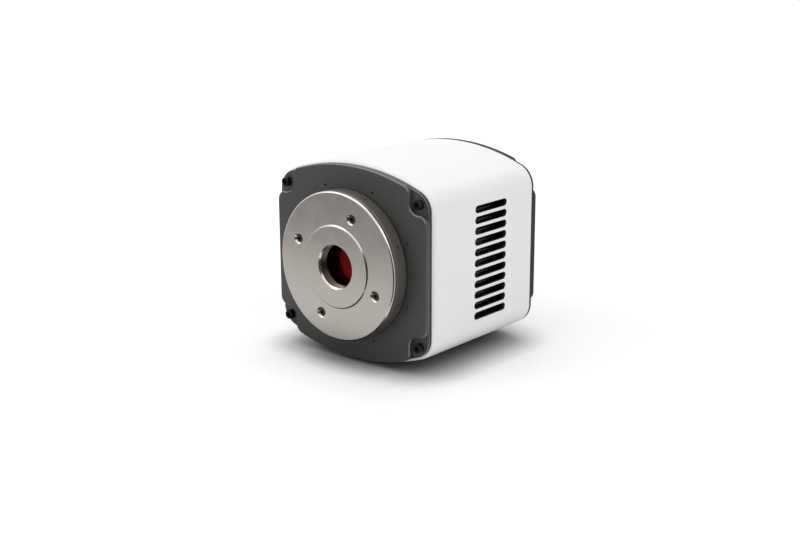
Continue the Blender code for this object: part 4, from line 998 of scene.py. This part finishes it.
# %% [markdown]
# The white sleeve is one aluminium extrusion: the outline as a tube with 2 mm walls. Both
# sides have eleven round-ended vents, punched through at one pitch. Powder coat never has a
# knife edge, so every vent gets a 0.3 mm radius, drawn in the same step that deburrs the rims.
# The punch gives the walls that it cuts a dark grey, which is painted shade inside the
# vents.

# %% Housing sleeve
# The vents' dark walls are painted shade, the shade inside the slots.
VENT_WALL_SHADE = grain("vent_wall_painted_shade", "#2C2C2C", "#363636", 0.55, 0.2, 0.5, 0.008)
WALL = 2.0 * MM
VENT_COUNT = 11
VENT_PITCH = 6.37 * MM
VENT_TALL = 4.36 * MM
VENT_FRONT = BOSS_FACE + 54.85 * MM
VENT_REAR = BOSS_FACE + 85.05 * MM
VENT_RISE = 0.5 * MM
FRONT_RIM = 1.3 * MM
REAR_RIM = 0.3 * MM
VENT_RADIUS_MM = 0.3
FOOT_GAP = 0.6 * MM

sleeve = slab(
    "housing_sleeve_extruded",
    housing_outline(0),
    SLEEVE_FRONT,
    SLEEVE_REAR,
    [POWDER_COAT, VENT_WALL_SHADE],
    front_edge=FRONT_RIM,
    rear_edge=REAR_RIM,
)
bore = slab(
    "sleeve_bore",
    housing_outline(WALL),
    SLEEVE_FRONT - THROUGH,
    SLEEVE_REAR + THROUGH,
    [POWDER_COAT],
)
combine(sleeve, bore)


def slot(along, up, long, tall, steps=12):
    """A round-ended slot as an outline of (along, up) points."""
    half, reach = tall / 2, long / 2 - tall / 2
    right = arc(along + reach, up, half, -math.pi / 2, math.pi / 2, steps)
    left = arc(along - reach, up, half, math.pi / 2, 1.5 * math.pi, steps)
    return right + left


def side_punch(name, outlines, reach):
    """Outlines of (y, z) points as rods along X, right through the sleeve."""
    bm = bmesh.new()
    for outline in outlines:
        push(bm, [(-reach, y, z) for y, z in outline], (2 * reach, 0, 0))
    return piece_from(bm, name, [VENT_WALL_SHADE])


vent_y = (VENT_FRONT + VENT_REAR) / 2
vents = [
    slot(
        vent_y,
        AXIS_Z + VENT_RISE + (row - (VENT_COUNT - 1) / 2) * VENT_PITCH,
        VENT_REAR - VENT_FRONT,
        VENT_TALL,
    )
    for row in range(VENT_COUNT)
]
combine(sleeve, side_punch("vent_punch", vents, HALF_WIDTH + THROUGH))
foot = high("tripod_block") - low("tripod_block")
foot_size = (foot.x + FOOT_GAP, foot.y + FOOT_GAP, 30 * MM)
foot_spot = (middle("tripod_block").x, middle("tripod_block").y, low("tripod_block").z + 2 * MM)
combine(sleeve, blocks("foot_window", [(foot_size, foot_spot)]))
deburr(sleeve, VENT_RADIUS_MM, steps=3)
mount(sleeve, "white_paint", "housing_sleeve")
print(sleeve.name, VENT_COUNT, "vents a side,", len(sleeve.data.polygons), "faces")

# %% [markdown]
# The rear cover mirrors the front plate: flange, scalloped pad and a rim inside the sleeve. It
# has the fan's grille, rows of round-ended slots that fill a circle, and a port strip below.
# Its flange and pad come closer to the sleeve's outline than the solids do, and stay inside it.

# %% Rear cover
REAR_FLANGE_INSET = 0.1 * MM
REAR_PAD_INSET = 0.2 * MM
GRILLE_R = 31.5 * MM
GRILLE_BAR = 5.0 * MM
RIM_WALL = 1.5 * MM
SCREW_BOSS_R = 3.6 * MM
flange_front = SLEEVE_REAR + 0.3 * MM
flange_rear = flange_front + 1.4 * MM
rim_rear = flange_rear - 0.7 * MM
fan_axis = middle("fan_rotor")

cover = slab(
    "rear_cover_milled",
    pad_outline(REAR_PAD_INSET),
    (flange_front + flange_rear) / 2,
    COVER_REAR,
    [REAR_ANODISED],
    rear_edge=0.4 * MM,
)
rear_flange = slab(
    "rear_flange",
    housing_outline(REAR_FLANGE_INSET),
    flange_front,
    flange_rear,
    [REAR_ANODISED],
    rear_edge=0.2 * MM,
)
combine(cover, rear_flange, "UNION")
rim_front = low("rear_cover").y
rim = slab("rear_rim", housing_outline(SPIGOT_INSET), rim_front, rim_rear, [REAR_ANODISED])
hollow = slab(
    "rear_hollow",
    housing_outline(SPIGOT_INSET + RIM_WALL),
    rim_front - THROUGH,
    flange_front,
    [REAR_ANODISED],
)
combine(rim, hollow)
combine(cover, rim, "UNION")
bosses = rods("rear_bosses", SCREW_BOSS_R, rim_front, rim_rear, corner_spots, 32)
combine(cover, bosses, "UNION")

grille = bmesh.new()
grille_rows = int(GRILLE_R / VENT_PITCH)
for row in range(-grille_rows, grille_rows + 1):
    up = row * VENT_PITCH
    edge = abs(up) + VENT_TALL / 2
    if edge > GRILLE_R - VENT_TALL:
        continue
    opening = math.sqrt(GRILLE_R**2 - edge**2) - GRILLE_BAR / 2
    for side in (-1, 1):
        along = side * (GRILLE_BAR / 2 + opening / 2)
        outline = slot(along, fan_axis.z + up, opening, VENT_TALL)
        punch = [(x, SLEEVE_REAR - THROUGH, z) for x, z in outline]
        push(grille, punch, (0, 3 * THROUGH, 0))
combine(cover, piece_from(grille, "grille_punch", [REAR_ANODISED]))

# %% [markdown]
# Holes for what passes through the cover: the screws, the switch, the power inlet, the data
# port, three trigger jacks and the light. Each takes its place from the frame's own piece.

# %% Rear openings
fan_screws = numbered("fan_screw", 4)
jacks = numbered("trigger_jack", 3)
behind = (rim_front - THROUGH, COVER_REAR + THROUGH)
drillings = [
    ("rear_taps", SHANK_HOLE, corner_spots + spots(fan_screws), 24),
    ("jack_holes", 3.4 * MM, spots(jacks), 32),
    ("light_hole", 1.5 * MM, spots(["status_led"]), 24),
    ("inlet_hole", 5.1 * MM, spots(["dc_jack"]), 48),
]
for name, radius, places, sides in drillings:
    combine(cover, rods(name, radius, *behind, places, sides))
windows = []
for name, width, height in (("usb_port", 12.8, 11.8), ("switch_frame", 10.4, 15.0)):
    size = (width * MM, behind[1] - behind[0], height * MM)
    windows.append((size, (middle(name).x, sum(behind) / 2, middle(name).z)))
combine(cover, blocks("port_windows", windows))
deburr(cover, 0.08)
mount(cover, "grey_anodised", "rear_cover")
print(cover.name, len(cover.data.polygons), "faces")

# %% [markdown]
# The fan's screws are low, smooth pan heads with a hexagon socket, so they are spun.

# %% Fan screws
PAN_R = 2.8 * MM
PAN_H = 1.6 * MM
PAN_SOCKET_DEPTH = 0.8 * MM
for screw, spot in zip(fan_screws, spots(fan_screws)):
    face, tail = high(screw).y, low(screw).y
    head = turned(
        screw + "_turned",
        [
            (0, face, 0),
            (PAN_R - 0.5 * MM, face, 0.5 * MM),
            (PAN_R, face - 0.7 * MM, 0.4 * MM),
            (PAN_R, face - PAN_H, 0.1 * MM),
            (SHANK_R, face - PAN_H, 0.1 * MM),
            (SHANK_R, tail, 0.2 * MM),
            (0, tail, 0),
        ],
        [BLACK_OXIDE],
        spot,
        steps=48,
        closed=False,
    )
    key = hexagon(SOCKET_FLATS, *spot)
    combine(head, slab(screw + "_key", key, face - PAN_SOCKET_DEPTH, face + OVER, [BLACK_OXIDE]))
    mount(head, "black_oxide", screw)
print("4 fan screws")

# %% [markdown]
# The fan's blades are thin, pitched and cambered. Each is a grid: along its span it twists,
# and along its chord it bends. A wall thickness is then given with Solidify, and the hub is a
# turned cap. Hub and blades turn together on the fan's body.

# %% Fan rotor
BLADES = 7
HUB_R = 12.0 * MM
BLADE_ROOT = HUB_R - 0.8 * MM
BLADE_TIP = 31.8 * MM
BLADE_WALL = 1.1 * MM
BLADE_CLEAR = 1.2 * MM
ROOT_SWEEP = 42  # degrees that a blade covers at its root, and how much less at its tip
SWEEP_LOSS = 10
CAMBER = 0.10
rotor_front, rotor_rear = low("fan_rotor").y, high("fan_rotor").y
rotor_mid = (rotor_front + rotor_rear) / 2
hub = turned(
    "fan_rotor_moulded",
    [
        (0, rotor_front, 0),
        (HUB_R, rotor_front, 1.2 * MM),
        (HUB_R, rotor_rear, 0.4 * MM),
        (0, rotor_rear, 0),
    ],
    [NYLON_BLACK],
    (fan_axis.x, fan_axis.z),
    steps=72,
    closed=False,
)
SPAN, CHORD = 10, 8
blades = bmesh.new()
for blade in range(BLADES):
    base = 2 * math.pi * blade / BLADES
    rows = []
    for i in range(SPAN + 1):
        reach = BLADE_ROOT + (BLADE_TIP - BLADE_ROOT) * i / SPAN
        sweep = math.radians(ROOT_SWEEP - SWEEP_LOSS * i / SPAN)
        row = []
        for j in range(CHORD + 1):
            share = j / CHORD - 0.5
            y = rotor_mid + share * (rotor_rear - rotor_front - 2 * BLADE_CLEAR)
            turn = base + sweep * share + CAMBER * math.cos(math.pi * share)
            row.append(blades.verts.new((reach * math.cos(turn), y, reach * math.sin(turn))))
        rows.append(row)
    for first, second in zip(rows, rows[1:]):
        for a, b, c, d in zip(first, first[1:], second[1:], second):
            blades.faces.new((a, b, c, d))
vanes = piece_from(blades, "fan_blades_moulded", [NYLON_BLACK], (fan_axis.x, 0, fan_axis.z), 60)
wall = vanes.modifiers.new("wall", "SOLIDIFY")
wall.thickness = BLADE_WALL
wall.offset = 0
settle(vanes)
mount(hub, "black_plastic", "fan_rotor", body="fan")
mount(vanes, "black_plastic", body="fan")
print(BLADES, "fan blades")

# %% [markdown]
# The ports. Trigger jacks are gold-plated coaxial sockets: a hexagon on the cover and a
# threaded barrel with a dielectric and a pin inside. The thread's crests are turned as rings.

# %% Trigger jacks
BARREL_R = 3.1 * MM
CREST_PITCH = 0.5 * MM
CREST_DEPTH = 0.22 * MM
MOUTH_R = 2.3 * MM
MOUTH_DEPTH = 5.0 * MM
NUT_FLATS = 8.0 * MM
NUT_FRONT = COVER_REAR + 0.3 * MM
NUT_REAR = NUT_FRONT + 1.8 * MM
for jack, spot in zip(jacks, spots(jacks)):
    rear = high(jack).y
    mouth_end = rear - MOUTH_DEPTH
    inner_end = mouth_end + 0.1 * MM
    crests = []
    y = NUT_REAR + CREST_PITCH
    while y < rear - 0.7 * MM:
        crests += [(BARREL_R - CREST_DEPTH, y, 0), (BARREL_R, y + CREST_PITCH / 2, 0)]
        y += CREST_PITCH
    barrel = turned(
        jack + "_barrel",
        [
            (MOUTH_R, mouth_end, 0),
            (0, mouth_end, 0),
            (0, NUT_FRONT, 0),
            (BARREL_R - 0.2 * MM, NUT_FRONT, 0),
            (BARREL_R - 0.2 * MM, NUT_REAR + 0.3 * MM, 0),
            *crests,
            (BARREL_R - 0.3 * MM, rear - 0.3 * MM, 0),
            (BARREL_R - 0.5 * MM, rear, 0.1 * MM),
            (MOUTH_R, rear, 0.1 * MM),
        ],
        [GOLD],
        spot,
        steps=64,
    )
    tail = rods(jack + "_tail", BARREL_R, low(jack).y, NUT_FRONT + 0.2 * MM, [spot], 32)
    combine(barrel, tail, "UNION")
    nut_key = hexagon(NUT_FLATS, *spot)
    nut = slab(jack + "_nut", nut_key, NUT_FRONT, NUT_REAR, [GOLD], rear_edge=0.25 * MM)
    combine(barrel, nut, "UNION")
    mount(barrel, "gold_brass", jack)
    insert = turned(
        jack + "_insert",
        [
            (0.75 * MM, rear - 1.6 * MM, 0.1 * MM),
            (MOUTH_R - 0.1 * MM, rear - 1.6 * MM, 0.2 * MM),
            (MOUTH_R - 0.1 * MM, inner_end, 0),
            (0.75 * MM, inner_end, 0),
        ],
        [CERAMIC],
        spot,
        steps=48,
    )
    mount(insert, "ceramic")
    pin = turned(
        jack + "_contact",
        [
            (0, rear - 1.0 * MM, 0),
            (0.5 * MM, rear - 1.0 * MM, 0.15 * MM),
            (0.5 * MM, inner_end, 0),
            (0, inner_end, 0),
        ],
        [GOLD],
        spot,
        steps=24,
        closed=False,
    )
    mount(pin, "gold_brass")
print(len(jacks), "trigger jacks")

# %% [markdown]
# The remaining pieces keep their solids: their shapes are right, so they get a finish, and
# five of them also a fine deburred edge, which is a Bevel modifier on the node.

# %% Finishes for the nodes that stay
BEVELLED = ("switch_frame", "power_rocker", "dc_jack", "usb_port", "tripod_block")
NODE_EDGE = 0.15 * MM
chips = ["processor_chip", *numbered("memory_chip", 2)]
stay = {
    BLACK_ANODISED_AND_GAP_SHADE: "chamber_body window_retainer heat_sink chassis_floor tripod_block".split(),
    STAINLESS: [*numbered("corner_post", 4), "usb_port"],
    ABS_BLACK: ["switch_frame", "power_rocker", "dc_jack", *chips],
    NYLON_BLACK: ["fan_frame"],
    RUBBER: ["window_seal"],
    WINDOW_GLASS: ["window_glass"],
    SILICON: ["sensor_die"],
    DARK_CERAMIC: ["sensor_package"],
    CERAMIC: ["cooler_cold_stage", "cooler_hot_stage"],
    COPPER: ["cold_plate"],
    CIRCUIT_BOARD: ["main_board", "port_board", "sensor_board"],
    LIGHT_PIPE: ["status_led"],
}
for finish, names in stay.items():
    for name in names:
        finish_node(name, finish)
        if name in BEVELLED:
            edge = nodes[name].modifiers.new("deburring", "BEVEL")
            edge.width = NODE_EDGE
            edge.segments = 2
            edge.angle_limit = math.radians(40)
print(sum(len(names) for names in stay.values()), "nodes keep their solids")

# %% [markdown]
# The studio: a pale floor under a white surround. The camera, mirrors and glass see the
# surround as pure white, while it lights the object at half that strength. Soft light alone
# leaves too little shade under the object, so an Ambient Occlusion node finds where it closes
# off the floor, and darkens it there. Further out the floor glows, until it runs into the white.

# %% Floor and surround
CONTACT_REACH = 0.024
CONTACT_DEPTH = 1.1
GLOW_NEAR, GLOW_FAR = 0.08, 1.5  # metres from the middle of the floor
FLOOR_GLOW, FLOOR_LIFT = 0.19, 0.65
FLOOR_SIZE = 6.0
CARD_FIBRE = 3 * MM
SURROUND_LIGHT = 0.50


def background_ray(tree):
    """1 where the camera, a mirror or glass sees the surface, 0 where it lights others."""
    rays = node(tree, "ShaderNodeLightPath").outputs
    larger = {"operation": "MAXIMUM"}
    direct = {0: rays["Is Camera Ray"], 1: rays["Is Glossy Ray"]}
    first = node(tree, "ShaderNodeMath", larger, direct)
    either = {0: first.outputs["Value"], 1: rays["Is Transmission Ray"]}
    return node(tree, "ShaderNodeMath", larger, either).outputs["Value"]


def pale_floor():
    """A matt pale card. Close to the object it only takes light, and further out it glows."""
    made, tree, shader = start("card_matt_pale", "#F0F0F0", 0.85, 0.0)
    where = node(tree, "ShaderNodeTexCoord").outputs["Object"]
    size = {"Scale": 1 / CARD_FIBRE, "Detail": 3.0}
    fibre = node(tree, "ShaderNodeTexNoise", size, {"Vector": where})
    bump = node(tree, "ShaderNodeBump", {"Distance": 0.02 * MM}, {"Height": fibre.outputs["Fac"]})
    corner = node(tree, "ShaderNodeAmbientOcclusion", {"samples": 16, "Distance": CONTACT_REACH})
    power = {"operation": "POWER", 1: CONTACT_DEPTH}
    depth = node(tree, "ShaderNodeMath", power, {0: corner.outputs["AO"]}).outputs["Value"]
    tones = {"data_type": "RGBA", 6: linear("#303030"), 7: linear("#F0F0F0")}
    shade = node(tree, "ShaderNodeMix", tones, {0: depth})
    away = node(tree, "ShaderNodeVectorMath", {"operation": "LENGTH"}, {0: where})
    rise = {"From Min": GLOW_NEAR, "From Max": GLOW_FAR, "To Min": FLOOR_GLOW, "To Max": FLOOR_LIFT}
    further = node(tree, "ShaderNodeMapRange", rise, {"Value": away.outputs["Value"]})
    times = {"operation": "MULTIPLY"}
    glow = node(tree, "ShaderNodeMath", times, {0: depth, 1: further.outputs["Result"]})
    seen = {0: background_ray(tree), 1: glow.outputs["Value"]}
    lift = node(tree, "ShaderNodeMath", times, seen)
    shader.inputs["Emission Color"].default_value = (1, 1, 1, 1)
    tree.links.new(lift.outputs["Value"], shader.inputs["Emission Strength"])
    tree.links.new(shade.outputs[2], shader.inputs["Base Color"])
    tree.links.new(bump.outputs["Normal"], shader.inputs["Normal"])
    return made


bm = bmesh.new()
bmesh.ops.create_grid(bm, x_segments=8, y_segments=8, size=FLOOR_SIZE / 2)
floor = piece_from(bm, "floor", [pale_floor()])

world = bpy.data.worlds.new("surround")
bpy.context.scene.world = world
world.use_nodes = True
sky_tree = world.node_tree
sky = sky_tree.nodes["Background"]
sky.inputs["Color"].default_value = (1, 1, 1, 1)
strengths = {"To Min": SURROUND_LIGHT, "To Max": 1.0}
level = node(sky_tree, "ShaderNodeMapRange", strengths, {"Value": background_ray(sky_tree)})
sky_tree.links.new(level.outputs["Result"], sky.inputs["Strength"])
print("floor and surround ready")

# %% [markdown]
# Dark flags stand and lie in front, out of sight. Only reflections see them: the grey one makes
# the mount plate fade from its foot to its top, and the black ones put dark lines in its
# chamfers, as the dim side of a real studio does.

# %% Flags
FLAG_START = -0.235  # how near the grey flag comes, which sets where the plate turns light
FLAG_HEIGHT = 1.5 * MM


def flag(name, colour, corners):
    """A card, given by its corners, that shows in reflections only."""
    bm = bmesh.new()
    bm.faces.new([bm.verts.new(corner) for corner in corners])
    made = piece_from(bm, name, [grain(name + "_card", colour, colour, 0.8, 0.0, 2.0, 0.01)])
    made.visible_camera = made.visible_shadow = made.visible_diffuse = False
    made.visible_transmission = False


def lying(left, right, front, rear):
    """Corners of a card just above the floor."""
    around = [(left, front), (right, front), (right, rear), (left, rear)]
    return [(x, y, FLAG_HEIGHT) for x, y in around]


flag("grey_flag", "#666666", lying(-2.0, 0.04, -1.8, FLAG_START))
flag("black_flag", "#101010", lying(0.05, 0.9, -1.2, -0.09))
stand = [(0.14, -0.47), (0.40, -0.26)]
standing = [(x, y, z) for z, ends in ((0.002, stand), (0.26, stand[::-1])) for x, y in ends]
flag("upright_flag", "#101010", standing)
flag("foot_flag", "#101010", lying(-0.10, 0.05, -0.095, -0.05))
print("four flags")

# %% [markdown]
# Three soft boxes face the object: one high above, a little left and behind, one at the front
# left and one at the right. Their power is set so that a colour renders about as it is written
# and the white top stays just below pure white.

# %% Soft boxes
SOFT_BOXES = [  # name, side in metres, place, watts
    ("overhead", 0.9, (-0.20, 0.10, 1.25), 5.2),
    ("left_front", 0.8, (-0.85, -0.75, 0.95), 3.6),
    ("right", 0.7, (1.1, -0.35, 0.95), 4.6),
]
for name, side, spot, watts in SOFT_BOXES:
    lamp = bpy.data.lights.new(name, "AREA")
    lamp.shape = "RECTANGLE"
    lamp.size = lamp.size_y = side
    lamp.energy = watts
    holder = bpy.data.objects.new(name, lamp)
    holder.location = spot
    facing = Vector(spot) - Vector((0, 0, AXIS_Z))
    holder.rotation_euler = facing.to_track_quat("Z", "Y").to_euler()
    bpy.context.scene.collection.objects.link(holder)
print(len(SOFT_BOXES), "soft boxes")

# %% [markdown]
# The camera stands at the front right, a little above: 40.4 degrees round from the lens axis
# and 15.3 degrees up, 719 mm from the point it looks at, with a 58.9 mm lens.

# %% Camera
LENS = 58.91
SENSOR = 36
CLIP = (0.01, 50)
EYE = Vector((0.4980, -0.5893, 0.2579))
TARGET = Vector((0.04837, -0.06143, 0.06823))
ROLL = math.radians(-0.261)

eye = bpy.data.cameras.new("eye")
eye.lens = LENS
eye.sensor_width = SENSOR
eye.clip_start, eye.clip_end = CLIP
viewer = bpy.data.objects.new("eye", eye)
back = (EYE - TARGET).normalized()
level_right = Vector((0, 0, 1)).cross(back).normalized()
level_up = back.cross(level_right)
right = math.cos(ROLL) * level_right + math.sin(ROLL) * level_up
up = back.cross(right)
turn = Matrix((right, up, back)).transposed().to_4x4()
viewer.matrix_world = Matrix.Translation(EYE) @ turn
bpy.context.scene.collection.objects.link(viewer)
bpy.context.scene.camera = viewer
bpy.context.scene.view_settings.view_transform = "Standard"
print("camera", round((EYE - TARGET).length / MM), "mm from its target")
